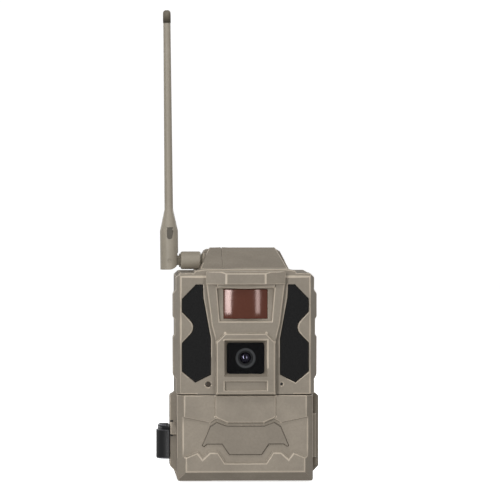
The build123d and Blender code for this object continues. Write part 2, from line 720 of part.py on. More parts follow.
with BuildPart() as main_board:
    block((-BOARD_HALF, BOARD_HALF), (BOARD_Y, BOARD_Y + BOARD_T), (BOARD_Z0, BOARD_Z1))
    fillet(main_board.edges().filter_by(Axis.Y), radius=1.5)
    for x, z in BOARD_POSTS:
        rod_y(
            BOARD_SCREW_RADIUS + FIT,
            x,
            (BOARD_Y - THROUGH, BOARD_Y + BOARD_T + THROUGH),
            z,
            mode=Mode.SUBTRACT,
        )
save("main_board", main_board.part)

with BuildPart() as board_screws:
    for x, z in BOARD_POSTS:
        rod_y(BOARD_SCREW_RADIUS, x, (BOARD_Y - BOARD_SCREW_LENGTH, BOARD_Y + BOARD_T), z)
        rod_y(BOARD_SCREW_HEAD, x, (BOARD_Y + BOARD_T, BOARD_Y + BOARD_T + 1.3), z)
save("board_screws", board_screws.part)

MODEM_Y0 = BOARD_Y + BOARD_T
MODEM_Y1 = MODEM_Y0 + 3.2
MODEM_HALF = 14.0
MODEM_HEIGHT = 26.0
MODEM_Z0 = SHOULDER_Z - 7.0 - MODEM_HEIGHT
PIGTAIL_Z = MODEM_Z0 + 20.0          # aerial plug on the modem

with BuildPart() as modem_shield:
    block((-MODEM_HALF, MODEM_HALF), (MODEM_Y0, MODEM_Y1), (MODEM_Z0, MODEM_Z0 + MODEM_HEIGHT))
    fillet(modem_shield.faces().sort_by(Axis.Y)[-1].edges(), radius=0.6)
save("modem_shield", modem_shield.part)

with BuildPart() as front_gasket:
    with BuildSketch(facing(REAR_FRONT_Y)):
        Polygon(*upper_outline(0), align=None)
        Polygon(*upper_outline(WALL), align=None, mode=Mode.SUBTRACT)
    extrude(amount=GASKET_T)
save("front_gasket", front_gasket.part)

# =====================================================================
# Back housing
# =====================================================================
REAR_CORNER = 3.0
LOW_CORNER = 2.0
INNER_Z1 = SHOULDER_Z - WALL
FOOT_SPOTS = [(s * 27.6, -9.0) for s in (-1, 1)] + [(s * (REAR_HALF - 4.6), REAR_Y - 7.0) for s in (-1, 1)]
TURRET_Z1 = ROOF_TOP - 1.6
TURRET_Y1 = REAR_Y - 3.0
TURRET_BASE_HALF = 30.5
TURRET_TOP_HALF = 23.3
TURRET_WALL_X = 2.3                  # slanting side walls, measured across
EJECT_X = 24.0
EJECT_HEAD_RADIUS = 4.0
EJECT_STEM_RADIUS = 2.0
JACK_X = -22.0
JACK_Y = -0.5
JACK_POCKET = 1.9
JACK_SLEEVE_RADIUS = 3.2
PORT_HALF = 7.5
PORT_Y = (-5.0, 4.0)
REAR_SOCKET_Z = LENS_Z + 12.0

with BuildPart() as back_housing:
    with BuildSketch(facing(REAR_Y)):
        Polygon(
            (-REAR_HALF + LOW_CORNER, 0),
            (REAR_HALF - LOW_CORNER, 0),
            (REAR_HALF, LOW_CORNER),
            (REAR_HALF, SHOULDER_Z - SHOULDER_DROP),
            (REAR_HALF - SHOULDER_RUN, SHOULDER_Z),
            (-REAR_HALF + SHOULDER_RUN, SHOULDER_Z),
            (-REAR_HALF, SHOULDER_Z - SHOULDER_DROP),
            (-REAR_HALF, LOW_CORNER),
            align=None,
        )
    extrude(amount=REAR_Y - REAR_FRONT_Y)
    chamfer(back_housing.faces().sort_by(Axis.Y)[-1].edges(), length=REAR_CORNER)
    # turret behind the roof cover, around the antenna wiring
    with BuildSketch(facing(TURRET_Y1)):
        Polygon(
            (-TURRET_BASE_HALF, SHOULDER_Z - 0.5),
            (TURRET_BASE_HALF, SHOULDER_Z - 0.5),
            (TURRET_TOP_HALF, TURRET_Z1),
            (-TURRET_TOP_HALF, TURRET_Z1),
            align=None,
        )
    extrude(amount=TURRET_Y1 - ROOF_Y1 - 0.2)
    chamfer(back_housing.faces().filter_by(Axis.Z).sort_by(Axis.Z)[-1].edges(), length=1.2)
    # side flanges
    for s in (-1, 1):
        with BuildSketch(facing(FLANGE_Y1)):
            Polygon(
                (s * (REAR_HALF - 1), FLANGE_Z0 - 4.6),
                (s * REAR_HALF, FLANGE_Z0 - 4.0),
                (s * FLANGE_HALF, FLANGE_Z0),
                (s * FLANGE_HALF, FLANGE_Z1),
                (s * REAR_HALF, FLANGE_Z1 + 2.4),
                (s * (REAR_HALF - 1), FLANGE_Z1 + 2.9),
                align=None,
            )
        extrude(amount=FLANGE_Y1 - REAR_FRONT_Y)
    # hollow interior
    block(
        (-REAR_HALF + WALL, REAR_HALF - WALL),
        (REAR_FRONT_Y + WALL, BAY_Y1),
        (WALL, INNER_Z1),
        mode=Mode.SUBTRACT,
    )
    inner_half = TURRET_BASE_HALF - TURRET_WALL_X - 0.2
    block(
        (-inner_half, inner_half),
        (ROOF_Y1 + 2, TURRET_Y1 - WALL),
        (INNER_Z1 - THROUGH, SHOULDER_Z + 0.5),
        mode=Mode.SUBTRACT,
    )
    with BuildSketch(facing(TURRET_Y1 - WALL)):
        Polygon(
            (-inner_half, SHOULDER_Z - 0.5),
            (inner_half, SHOULDER_Z - 0.5),
            (TURRET_TOP_HALF - TURRET_WALL_X + 0.2, TURRET_Z1 - WALL),
            (-TURRET_TOP_HALF + TURRET_WALL_X - 0.2, TURRET_Z1 - WALL),
            align=None,
        )
    extrude(amount=TURRET_Y1 - WALL - ROOF_Y1 - 2, mode=Mode.SUBTRACT)
    block((-24.0, 24.0), (ROOF_Y0 + 5, ROOF_Y1 - 3), (INNER_Z1 - 1, SHOULDER_Z + 1), mode=Mode.SUBTRACT)
    # opening towards the upper front housing
    with BuildSketch(facing(REAR_FRONT_Y + WALL + 0.1)):
        Polygon(*upper_outline(WALL + 1.2)[:3], *upper_outline(WALL + 1.2)[-3:], align=None)
    extrude(amount=WALL + 1, mode=Mode.SUBTRACT)
    # battery bay, tripod boss and the tubes of the housing screws
    block(
        (-BAY_HALF - BAY_WALL, BAY_HALF + BAY_WALL),
        (BAY_Y0 - BAY_WALL, REAR_Y - 1),
        (0, BAY_Z1 + BAY_WALL),
    )
    rod_z(BOSS_DIAMETER / 2, 0, 0, (0, SOCKET_DEPTH + 3.0))
    rod_z(INSERT_DIAMETER / 2, 0, 0, (-1, SOCKET_DEPTH + 0.5), mode=Mode.SUBTRACT)
    for x, z in FRONT_SCREWS:
        rod_y(TUBE_RADIUS, x, (REAR_FRONT_Y, REAR_Y - 1), z)
        rod_y(SCREW_HEAD / 2 + SLIDE, x, (REAR_FRONT_Y + 5.0, REAR_Y + 1), z, mode=Mode.SUBTRACT)
        rod_y(SCREW_DIAMETER / 2 + FIT, x, (REAR_FRONT_Y - 1, REAR_FRONT_Y + 6), z, mode=Mode.SUBTRACT)
    block((-BAY_HALF, BAY_HALF), (BAY_Y0, BAY_Y1), (-1, BAY_Z1), mode=Mode.SUBTRACT)
    # boss and socket for the rear mounting screw
    rod_y(BOSS_DIAMETER / 2, 0, (REAR_Y - SOCKET_DEPTH - 3.0, REAR_Y - 1), REAR_SOCKET_Z)
    rod_y(
        INSERT_DIAMETER / 2,
        0,
        (REAR_Y - SOCKET_DEPTH - 0.5, REAR_Y + THROUGH),
        REAR_SOCKET_Z,
        mode=Mode.SUBTRACT,
    )
    # eject button and power jack in the underside
    rod_z(EJECT_HEAD_RADIUS + 1.6, EJECT_X, 0, (0, 7.0))
    rod_z(EJECT_HEAD_RADIUS + SLIDE, EJECT_X, 0, (-THROUGH, 3.4), mode=Mode.SUBTRACT)
    rod_z(EJECT_STEM_RADIUS + SLIDE, EJECT_X, 0, (3.0, 8.0), mode=Mode.SUBTRACT)
    block(
        (JACK_X - PORT_HALF - 1.5, JACK_X + PORT_HALF + 1.5),
        (PORT_Y[0] - 1.5, PORT_Y[1] + 1.5),
        (0, 5.0),
    )
    block((JACK_X - PORT_HALF, JACK_X + PORT_HALF), PORT_Y, (-THROUGH, JACK_POCKET), mode=Mode.SUBTRACT)
    rod_z(JACK_SLEEVE_RADIUS, JACK_X, JACK_Y, (-THROUGH, 6), mode=Mode.SUBTRACT)
    # hinge: knuckles on the right flange, with room between them for the door's
    rod_z(KNUCKLE_DIAMETER / 2, HINGE_X, HINGE_Y, (FLANGE_Z0, KNUCKLE_Z0))
    rod_z(KNUCKLE_DIAMETER / 2, HINGE_X, HINGE_Y, (KNUCKLE_Z1, FLANGE_Z1))
    rod_z(KNUCKLE_DIAMETER / 2 + 0.45, HINGE_X, HINGE_Y, (KNUCKLE_Z0, KNUCKLE_Z1), mode=Mode.SUBTRACT)
    rod_z(
        HINGE_PIN_DIAMETER / 2 + FIT,
        HINGE_X,
        HINGE_Y,
        (FLANGE_Z0 + 1.0, FLANGE_Z1 - 1.0),
        mode=Mode.SUBTRACT,
    )
    # lug that carries the latch lever
    block((PIVOT_X, -REAR_HALF + 1), (PIVOT_Y - 3.0, PIVOT_Y + 3.0), (LUG_Z0, LUG_Z1))
    rod_z(3.0, PIVOT_X, PIVOT_Y, (LUG_Z0, LUG_Z1))
    rod_z(LATCH_PIN_DIAMETER / 2 + FIT, PIVOT_X, PIVOT_Y, (LUG_Z0 - 1, LUG_Z1 + 1), mode=Mode.SUBTRACT)
save("back_housing", back_housing.part)

with BuildPart() as housing_screws:
    for x, z in FRONT_SCREWS:
        rod_y(SCREW_DIAMETER / 2, x, (FACE_Y + 8.0, REAR_FRONT_Y + 5.0), z)
        rod_y(SCREW_HEAD / 2, x, (REAR_FRONT_Y + 5.0, REAR_FRONT_Y + 7.4), z)
        block(
            (x - 1.9, x + 1.9),
            (REAR_FRONT_Y + 6.4, REAR_FRONT_Y + 8),
            (z - 0.4, z + 0.4),
            mode=Mode.SUBTRACT,
        )
        block(
            (x - 0.4, x + 0.4),
            (REAR_FRONT_Y + 6.4, REAR_FRONT_Y + 8),
            (z - 1.9, z + 1.9),
            mode=Mode.SUBTRACT,
        )
save("housing_screws", housing_screws.part)

with BuildPart() as threaded_inserts:
    rod_z(INSERT_DIAMETER / 2, 0, 0, (0, SOCKET_DEPTH + 0.5))
    rod_z(SOCKET_DRILL / 2, 0, 0, (-1, SOCKET_DEPTH), mode=Mode.SUBTRACT)
    rod_y(INSERT_DIAMETER / 2, 0, (REAR_Y - SOCKET_DEPTH - 0.5, REAR_Y), REAR_SOCKET_Z)
    rod_y(SOCKET_DRILL / 2, 0, (REAR_Y - SOCKET_DEPTH, REAR_Y + 1), REAR_SOCKET_Z, mode=Mode.SUBTRACT)
save("threaded_inserts", threaded_inserts.part)

with BuildPart() as feet:
    for x, y in FOOT_SPOTS:
        rod_z(FOOT_DIAMETER / 2, x, y, (-FOOT_HEIGHT, 0))
    fillet(feet.faces().filter_by(Axis.Z).group_by(Axis.Z)[0].edges(), radius=0.3)
save("feet", feet.part)

# =====================================================================
# Rear bracket: strap ears, cable eyes and the toothed tree cradle
# =====================================================================
PLATE_T = 3.0
EAR_T = 5.0
EAR_DEPTH = 12.0
STRAP_W = 27.0
STRAP_T = 5.0
EYE_DIAMETER = 7.0
BRACKET_Z0 = FRONT_Z0 - 14.0
BRACKET_Z1 = BRACKET_Z0 + 52.0
BRACKET_HALF = REAR_HALF - 9.0
STRAP_Z = BRACKET_Z0 + 18.0
EYE_Z = BRACKET_Z1 - 9.0
BRACKET_SCREWS = [(s * (BRACKET_HALF - 9.5), z) for s in (-1, 1) for z in (BRACKET_Z0 + 5, BRACKET_Z1 - 5)]

with BuildPart() as rear_bracket:
    with BuildSketch(facing(REAR_Y + PLATE_T)):
        with Locations((0, (BRACKET_Z0 + BRACKET_Z1) / 2)):
            RectangleRounded(2 * BRACKET_HALF, BRACKET_Z1 - BRACKET_Z0, 3)
    extrude(amount=PLATE_T)
    for s in (-1, 1):
        with BuildSketch(Plane.YZ.offset(s * (BRACKET_HALF - EAR_T / 2) - EAR_T / 2)):
            with BuildLine():
                Polyline(
                    (REAR_Y + 0.5, BRACKET_Z0 + 3),
                    (REAR_Y + EAR_DEPTH - 4, BRACKET_Z0 + 3),
                    (REAR_Y + EAR_DEPTH, BRACKET_Z0 + 7),
                    (REAR_Y + EAR_DEPTH, BRACKET_Z1 - 7),
                    (REAR_Y + EAR_DEPTH - 4, BRACKET_Z1 - 3),
                    (REAR_Y + 0.5, BRACKET_Z1 - 3),
                    close=True,
                )
            make_face()
            with Locations((REAR_Y + PLATE_T + STRAP_T / 2 + 0.4, STRAP_Z)):
                Rectangle(STRAP_T, STRAP_W, mode=Mode.SUBTRACT)
            with Locations((REAR_Y + PLATE_T + EYE_DIAMETER / 2 + 0.4, EYE_Z)):
                Circle(EYE_DIAMETER / 2, mode=Mode.SUBTRACT)
        extrude(amount=EAR_T)
    for s in (-1, 1):
        for row in range(4):
            z = BRACKET_Z0 + 10 + row * 8
            with BuildSketch(Plane.YZ.offset(s * 14 - 6)):
                Polygon(
                    (REAR_Y + PLATE_T - 0.2, z - 2.4),
                    (REAR_Y + PLATE_T + 3.0, z),
                    (REAR_Y + PLATE_T - 0.2, z + 2.4),
                    align=None,
                )
            extrude(amount=12)
    rod_y(
        INSERT_DIAMETER / 2 + 1.5,
        0,
        (REAR_Y - 1, REAR_Y + PLATE_T + 1),
        REAR_SOCKET_Z,
        mode=Mode.SUBTRACT,
    )
    for x, z in BRACKET_SCREWS:
        rod_y(1.7, x, (REAR_Y - 1, REAR_Y + PLATE_T + 1), z, mode=Mode.SUBTRACT)
save("rear_bracket", rear_bracket.part)

with BuildPart() as bracket_screws:
    for x, z in BRACKET_SCREWS:
        rod_y(1.6, x, (REAR_Y, REAR_Y + PLATE_T), z)
        rod_y(3.0, x, (REAR_Y + PLATE_T, REAR_Y + PLATE_T + 1.8), z)
        block(
            (x - 2, x + 2),
            (REAR_Y + PLATE_T + 1, REAR_Y + PLATE_T + 3),
            (z - 0.4, z + 0.4),
            mode=Mode.SUBTRACT,
        )
        block(
            (x - 0.4, x + 0.4),
            (REAR_Y + PLATE_T + 1, REAR_Y + PLATE_T + 3),
            (z - 2, z + 2),
            mode=Mode.SUBTRACT,
        )
save("bracket_screws", bracket_screws.part)

# =====================================================================
# Roof cover: sloped shell over the antenna connector
# =====================================================================
ROOF_WALL = 1.6
BOSS_REACH = 4.3                     # thickness of the connector's seat
ROOF_SEAM_X = -13.5


def roof_prism(inset, low, mode=Mode.ADD):
    """Sloped wedge with slanting flanks, moved in by inset."""
    with BuildSketch(facing(ROOF_Y1 - inset), mode=Mode.PRIVATE) as section:
        Polygon(
            (-ROOF_BASE_HALF + inset * 1.1, low),
            (ROOF_BASE_HALF - inset * 1.1, low),
            (ROOF_TOP_HALF - inset * 0.9, ROOF_TOP - inset),
            (-ROOF_TOP_HALF + inset * 0.9, ROOF_TOP - inset),
            align=None,
        )
    extrude(section.sketch, amount=ROOF_Y1 - ROOF_Y0 - 2 * inset, mode=mode)


with BuildPart() as roof_core:
    roof_prism(ROOF_WALL, SHOULDER_Z - 1)
    with BuildSketch(Plane.YZ):
        Polygon(
            (ROOF_Y0, CREST_Z + 0.1 - ROOF_WALL),
            (ROOF_Y1, ROOF_TOP - ROOF_WALL),
            (ROOF_Y1, ROOF_TOP + 5),
            (ROOF_Y0, ROOF_TOP + 5),
            align=None,
        )
    extrude(amount=40, both=True, mode=Mode.SUBTRACT)

with BuildPart() as roof_cover:
    roof_prism(0, SHOULDER_Z)
    with BuildSketch(Plane.YZ):
        Polygon(
            (ROOF_Y0 - 1, CREST_Z - 0.3),
            (ROOF_Y0, CREST_Z + 0.1),
            (ROOF_Y1, ROOF_TOP),
            (ROOF_Y1, ROOF_TOP + 5),
            (ROOF_Y0 - 1, ROOF_TOP + 5),
            align=None,
        )
    extrude(amount=40, both=True, mode=Mode.SUBTRACT)
    add(roof_core.part, mode=Mode.SUBTRACT)
    # flat seat for the antenna connector, cut into the left flank
    rod_x(
        SLEEVE_DIAMETER / 2 + 0.6,
        (BOSS_FACE_X - 9, BOSS_FACE_X),
        ANTENNA_Y,
        ANTENNA_Z,
        mode=Mode.SUBTRACT,
    )
    rod_x(4.6, (BOSS_FACE_X, BOSS_FACE_X + BOSS_REACH), ANTENNA_Y, ANTENNA_Z)
    rod_x(
        CONNECTOR_DIAMETER / 2 + FIT,
        (BOSS_FACE_X - THROUGH, BOSS_FACE_X + 12),
        ANTENNA_Y,
        ANTENNA_Z,
        mode=Mode.SUBTRACT,
    )
    # shallow seam down the slope
    with BuildSketch(Plane.YZ.offset(ROOF_SEAM_X)):
        Polygon(
            (ROOF_Y0 - 1, CREST_Z - 0.7),
            (ROOF_Y0, CREST_Z - 0.3),
            (ROOF_Y1, ROOF_TOP - 0.4),
            (ROOF_Y1, ROOF_TOP + 1),
            (ROOF_Y0 - 1, ROOF_TOP + 1),
            align=None,
        )
    extrude(amount=0.5, mode=Mode.SUBTRACT)
save("roof_cover", roof_cover.part)

# =====================================================================
# Antenna
# =====================================================================
CONNECTOR_X0 = SLEEVE_X0 + 4.0
CONNECTOR_X1 = BOSS_FACE_X + 12.0
SOCKET_RADIUS = 2.1                  # of the centre contact's well
NUT_T = 2.2

with BuildPart() as antenna_connector:
    rod_x(CONNECTOR_DIAMETER / 2, (CONNECTOR_X0, CONNECTOR_X1), ANTENNA_Y, ANTENNA_Z)
    rod_x(4.4, (BOSS_FACE_X - 1.0, BOSS_FACE_X), ANTENNA_Y, ANTENNA_Z)
    rod_x(
        SOCKET_RADIUS,
        (CONNECTOR_X0 - THROUGH, CONNECTOR_X0 + 5),
        ANTENNA_Y,
        ANTENNA_Z,
        mode=Mode.SUBTRACT,
    )
    rod_x(0.6, (CONNECTOR_X0 + 0.6, CONNECTOR_X0 + 5.5), ANTENNA_Y, ANTENNA_Z)
    # hex nut inside the roof
    with BuildSketch(Plane.YZ.offset(BOSS_FACE_X + BOSS_REACH)):
        with Locations((ANTENNA_Y, ANTENNA_Z)):
            RegularPolygon(3.8, 6, rotation=30)
    extrude(amount=NUT_T)
save("antenna_connector", antenna_connector.part)

with BuildPart() as antenna_sleeve:
    rod_x(SLEEVE_DIAMETER / 2, (SLEEVE_X0, SLEEVE_X1), ANTENNA_Y, ANTENNA_Z)
    fillet(antenna_sleeve.edges(), radius=1.3)
    rod_x(
        CONNECTOR_DIAMETER / 2 + 0.08,
        (SLEEVE_X0 - 1, SLEEVE_X1 + 1),
        ANTENNA_Y,
        ANTENNA_Z,
        mode=Mode.SUBTRACT,
    )
save("antenna_sleeve", antenna_sleeve.part)

FORK_RADIUS = 5.75
ELBOW_PIN_RADIUS = 1.2
TONGUE_HALF = 3.0
TONGUE_EYE_RADIUS = 4.0
NECK_DIAMETER = 6.2
NECK_X0 = ELBOW_X + FORK_RADIUS + SLIDE

with BuildPart() as antenna_elbow:
    rod_x(NECK_DIAMETER / 2, (NECK_X0, CONNECTOR_X0 - SLIDE), ANTENNA_Y, ANTENNA_Z)
    block(
        (ELBOW_X, NECK_X0 + 0.5),
        (ANTENNA_Y - TONGUE_T / 2, ANTENNA_Y + TONGUE_T / 2),
        (ANTENNA_Z - TONGUE_HALF, ANTENNA_Z + TONGUE_HALF),
    )
    rod_y(TONGUE_EYE_RADIUS, ELBOW_X, (ANTENNA_Y - TONGUE_T / 2, ANTENNA_Y + TONGUE_T / 2), ANTENNA_Z)
    rod_y(
        ELBOW_PIN_RADIUS + FIT,
        ELBOW_X,
        (ANTENNA_Y - 4, ANTENNA_Y + 4),
        ANTENNA_Z,
        mode=Mode.SUBTRACT,
    )
save("antenna_elbow", antenna_elbow.part)

LEAN = math.radians(WHIP_LEAN)
WHIP_PLANE = Plane(
    origin=(ELBOW_X, ANTENNA_Y, ANTENNA_Z),
    x_dir=(math.cos(LEAN), 0, math.sin(LEAN)),
    z_dir=(-math.sin(LEAN), 0, math.cos(LEAN)),
)
WHIP_SIDE = Plane(origin=WHIP_PLANE.origin, x_dir=WHIP_PLANE.x_dir, z_dir=(0, -1, 0))
BASE_RADIUS = WHIP_BASE_DIAMETER / 2
WHIP_FRONT = Plane(
    origin=WHIP_PLANE.origin + Vector(0, -BASE_RADIUS - 0.1, 0),
    x_dir=WHIP_PLANE.x_dir,
    z_dir=(0, -1, 0),
)
OVAL_HEIGHT = 7.3
OVAL_WIDTH = 3.4
TIP_CAP = 8.0
TAPER_TOP = WHIP_BASE_LENGTH + WHIP_TAPER
CAP_START = WHIP_LENGTH - TIP_CAP

with BuildPart() as antenna_whip:
    with BuildSketch(WHIP_SIDE):
        Polygon(
            (0, -FORK_RADIUS),
            (BASE_RADIUS, -FORK_RADIUS),
            (BASE_RADIUS, WHIP_BASE_LENGTH),
            (WHIP_ROOT_DIAMETER / 2, TAPER_TOP),
            (WHIP_TIP_DIAMETER / 2, CAP_START),
            (0, CAP_START),
            align=None,
        )
    revolve(axis=Axis(WHIP_PLANE.origin, WHIP_PLANE.z_dir), revolution_arc=360)
    # the elbow end is rounded so that it folds past the sleeve
    with BuildSketch(WHIP_SIDE):
        Rectangle(20, 20, align=(Align.MIN, Align.MAX))
        Circle(FORK_RADIUS, mode=Mode.SUBTRACT)
    extrude(amount=20, both=True, mode=Mode.SUBTRACT)
    with BuildSketch(WHIP_SIDE):
        Polygon((-4.6, -12), (12, -12), (12, 4.6), (-4.6, 4.6), align=None)
    extrude(amount=FORK_SLOT / 2, both=True, mode=Mode.SUBTRACT)
    rod_y(
        ELBOW_PIN_RADIUS + FIT,
        ELBOW_X,
        (ANTENNA_Y - 10, ANTENNA_Y + 10),
        ANTENNA_Z,
        mode=Mode.SUBTRACT,
    )
    # shallow oval recess in the front of the base
    with BuildSketch(WHIP_FRONT):
        with Locations((0.3, WHIP_BASE_LENGTH - 1.6)):
            SlotOverall(OVAL_HEIGHT, OVAL_WIDTH, rotation=90)
    extrude(amount=-0.7, mode=Mode.SUBTRACT)
save("antenna_whip", antenna_whip.part)

with BuildPart() as whip_tip:
    with BuildSketch(WHIP_SIDE):
        tip_radius = WHIP_TIP_DIAMETER / 2 + 0.15
        Polygon(
            (0, CAP_START),
            (tip_radius, CAP_START),
            (tip_radius, WHIP_LENGTH),
            (0, WHIP_LENGTH),
            align=None,
        )
    revolve(axis=Axis(WHIP_PLANE.origin, WHIP_PLANE.z_dir), revolution_arc=360)
    fillet(whip_tip.faces().sort_by(Axis.Z)[-1].edges(), radius=tip_radius - 0.6)
save("whip_tip", whip_tip.part)

with BuildPart() as elbow_pin:
    rod_y(
        ELBOW_PIN_RADIUS,
        ELBOW_X,
        (ANTENNA_Y - BASE_RADIUS + 0.6, ANTENNA_Y + BASE_RADIUS - 0.6),
        ANTENNA_Z,
    )
save("elbow_pin", elbow_pin.part)

PIGTAIL_DIAMETER = 1.8
PIGTAIL_X = 4.0
pigtail_start = Vector(CONNECTOR_X1, ANTENNA_Y, ANTENNA_Z)
pigtail_end = Vector(PIGTAIL_X, MODEM_Y1, PIGTAIL_Z)
with BuildPart() as antenna_pigtail:
    with BuildLine() as pigtail_path:
        FilletPolyline(
            pigtail_start,
            pigtail_start + Vector(9.0, 0, 0),
            (PIGTAIL_X, ANTENNA_Y, SHOULDER_Z - 8.0),
            (PIGTAIL_X, ANTENNA_Y, PIGTAIL_Z),
            pigtail_end,
            radius=3.2,
        )
    with BuildSketch(Plane(origin=pigtail_start, x_dir=(0, 1, 0), z_dir=(1, 0, 0))):
        Circle(PIGTAIL_DIAMETER / 2)
    sweep(path=pigtail_path.line)
save("antenna_pigtail", antenna_pigtail.part)

# =====================================================================
# Door
# =====================================================================
DOOR_FLAT = DOOR_HALF - 4.3
DOOR_RUN = 6.5
DOOR_WALL = 2.2
RECESS_Y = DOOR_Y + 1.3
RIDGE_Y = DOOR_Y - 1.6
PANEL_RISE_Y = DOOR_Y - 1.2
STEP_Z = DOOR_HEIGHT - 17.4
RIDGE_Z = 12.2
BEVEL_Z = 6.0

STEP_LINE = [
    (DOOR_HALF + 1, STEP_Z + 4.6),
    (DOOR_FLAT, STEP_Z + 3.8),
    (22.1, STEP_Z + 0.5),
    (18.0, STEP_Z + 2.8),
    (11.4, STEP_Z),
]
RIDGE_LINE = [
    (DOOR_HALF + 1, RIDGE_Z + 1.6),
    (DOOR_FLAT + 0.6, RIDGE_Z + 3.0),
    (29.5, RIDGE_Z + 6.7),
    (26.6, RIDGE_Z + 2.9),
    (22.5, RIDGE_Z + 6.7),
    (16.8, RIDGE_Z + 6.7),
    (12.4, RIDGE_Z),
]

with BuildPart() as door_shell:
    with BuildSketch(facing(SPLIT_Y)):
        Rectangle(2 * DOOR_HALF, DOOR_HEIGHT, align=(Align.CENTER, Align.MIN))
    extrude(amount=SPLIT_Y - DOOR_Y)
    # lower band stands proud, with a bevelled upper edge
    with BuildSketch(facing(DOOR_Y + 0.5)):
        Polygon(
            *[(x, z) for x, z in RIDGE_LINE],
            *[(-x, z) for x, z in reversed(RIDGE_LINE)],
            (-DOOR_HALF - 1, 0),
            (DOOR_HALF + 1, 0),
            align=None,
        )
    extrude(amount=DOOR_Y + 0.5 - RIDGE_Y, taper=28)
    # centre panel stands proud above the step
    with BuildSketch(facing(DOOR_Y + 0.5)):
        Polygon(
            (-11.4, STEP_Z),
            (11.4, STEP_Z),
            (18.0, STEP_Z + 2.8),
            (COLUMN_HALF + 0.5, STEP_Z + 4.0),
            (COLUMN_HALF + 0.5, DOOR_HEIGHT),
            (-COLUMN_HALF - 0.5, DOOR_HEIGHT),
            (-COLUMN_HALF - 0.5, STEP_Z + 4.0),
            (-18.0, STEP_Z + 2.8),
            align=None,
        )
    extrude(amount=DOOR_Y + 0.5 - PANEL_RISE_Y, taper=20)
    # the field between the step and the lower band is recessed
    with BuildSketch(facing(DOOR_Y)):
        Polygon(
            *[(x, z) for x, z in STEP_LINE],
            *[(-x, z) for x, z in reversed(STEP_LINE)],
            *[(-x, z) for x, z in RIDGE_LINE],
            *[(x, z) for x, z in reversed(RIDGE_LINE)],
            align=None,
        )
    extrude(amount=DOOR_Y - RECESS_Y, mode=Mode.SUBTRACT)
    side_wedges(DOOR_HALF, DOOR_FLAT, DOOR_Y, DOOR_RUN, (-1, DOOR_HEIGHT + 1))
    # underside sweeps up to the front
    with BuildSketch(Plane.YZ):
        Polygon(
            (DOOR_Y + 6.0, 0),
            (RIDGE_Y, BEVEL_Z),
            (RIDGE_Y - 3, BEVEL_Z),
            (RIDGE_Y - 3, -1),
            (DOOR_Y + 6.0, -1),
            align=None,
        )
    extrude(amount=BODY_WIDTH, both=True, mode=Mode.SUBTRACT)
    block(
        (-DOOR_HALF, DOOR_HALF),
        (RIDGE_Y - 1, SPLIT_Y + 1),
        (DOOR_HEIGHT, DOOR_HEIGHT + 3),
        mode=Mode.SUBTRACT,
    )
    fillet(door_shell.edges().filter_by(Axis.Y).group_by(Axis.Z)[0], radius=LOW_CORNER - 0.4)
    # hollow back
    with BuildSketch(facing(SPLIT_Y + 1)):
        with Locations((0, DOOR_HEIGHT / 2)):
            Rectangle(2 * (DOOR_HALF - DOOR_WALL), DOOR_HEIGHT - 2 * DOOR_WALL)
    extrude(amount=SPLIT_Y + 1 - DOOR_Y - DOOR_RUN + 0.6, mode=Mode.SUBTRACT)
    with BuildSketch(facing(SPLIT_Y + 1)):
        with Locations((0, DOOR_HEIGHT / 2 + 1.0)):
            Rectangle(2 * (DOOR_FLAT - 1.6), DOOR_HEIGHT - 2 * DOOR_WALL - 2.0)
    extrude(amount=SPLIT_Y + 1 - RECESS_Y - DOOR_WALL, mode=Mode.SUBTRACT)
    # hinge knuckle and its web, and the catch on the latch side
    block(
        (DOOR_HALF - 1.6, HINGE_X),
        (SPLIT_Y - 3.5, HINGE_Y - 0.7),
        (KNUCKLE_Z0 + SLIDE, KNUCKLE_Z1 - SLIDE),
    )
    rod_z(KNUCKLE_DIAMETER / 2, HINGE_X, HINGE_Y, (KNUCKLE_Z0 + SLIDE, KNUCKLE_Z1 - SLIDE))
    rod_z(
        HINGE_PIN_DIAMETER / 2 + FIT,
        HINGE_X,
        HINGE_Y,
        (KNUCKLE_Z0 - 1, KNUCKLE_Z1 + 1),
        mode=Mode.SUBTRACT,
    )
    block((-FLANGE_HALF + 0.2, -DOOR_HALF + 1.5), (SPLIT_Y - 3.0, SPLIT_Y), (28.2, 35.9))
    # groove for the seal
    with BuildSketch(facing(SPLIT_Y + 0.5)):
        with Locations((0, DOOR_HEIGHT / 2)):
            Rectangle(2 * DOOR_HALF - 1.2, DOOR_HEIGHT - 1.2)
            Rectangle(2 * DOOR_HALF - 3.6, DOOR_HEIGHT - 3.6, mode=Mode.SUBTRACT)
    extrude(amount=1.7, mode=Mode.SUBTRACT)
save("door_shell", door_shell.part)

with BuildPart() as door_seal:
    with BuildSketch(facing(SPLIT_Y + 0.4)):
        with Locations((0, DOOR_HEIGHT / 2)):
            Rectangle(2 * DOOR_HALF - 1.4, DOOR_HEIGHT - 1.4)
            Rectangle(2 * DOOR_HALF - 3.4, DOOR_HEIGHT - 3.4, mode=Mode.SUBTRACT)
    extrude(amount=1.5)
save("door_seal", door_seal.part)

BADGE_T = 1.1

with BuildPart() as door_badge:
    with BuildSketch(facing(RECESS_Y)):
        Polygon(
            *both([
                (10.2, RIDGE_Z + 4.1),
                (14.7, RIDGE_Z + 10.7),
                (23.6, RIDGE_Z + 10.7),
                (25.7, RIDGE_Z + 9.2),
                (27.0, RIDGE_Z + 9.6),
                (27.1, RIDGE_Z + 10.5),
                (22.1, STEP_Z - 1.7),
                (18.1, STEP_Z + 0.9),
                (11.4, STEP_Z - 1.6),
            ]),
            align=None,
        )
    extrude(amount=BADGE_T, taper=20)
save("door_badge", door_badge.part)

with BuildPart() as hinge_pin:
    rod_z(HINGE_PIN_DIAMETER / 2, HINGE_X, HINGE_Y, (FLANGE_Z0 + 1.2, FLANGE_Z1 - 1.2))
save("hinge_pin", hinge_pin.part)

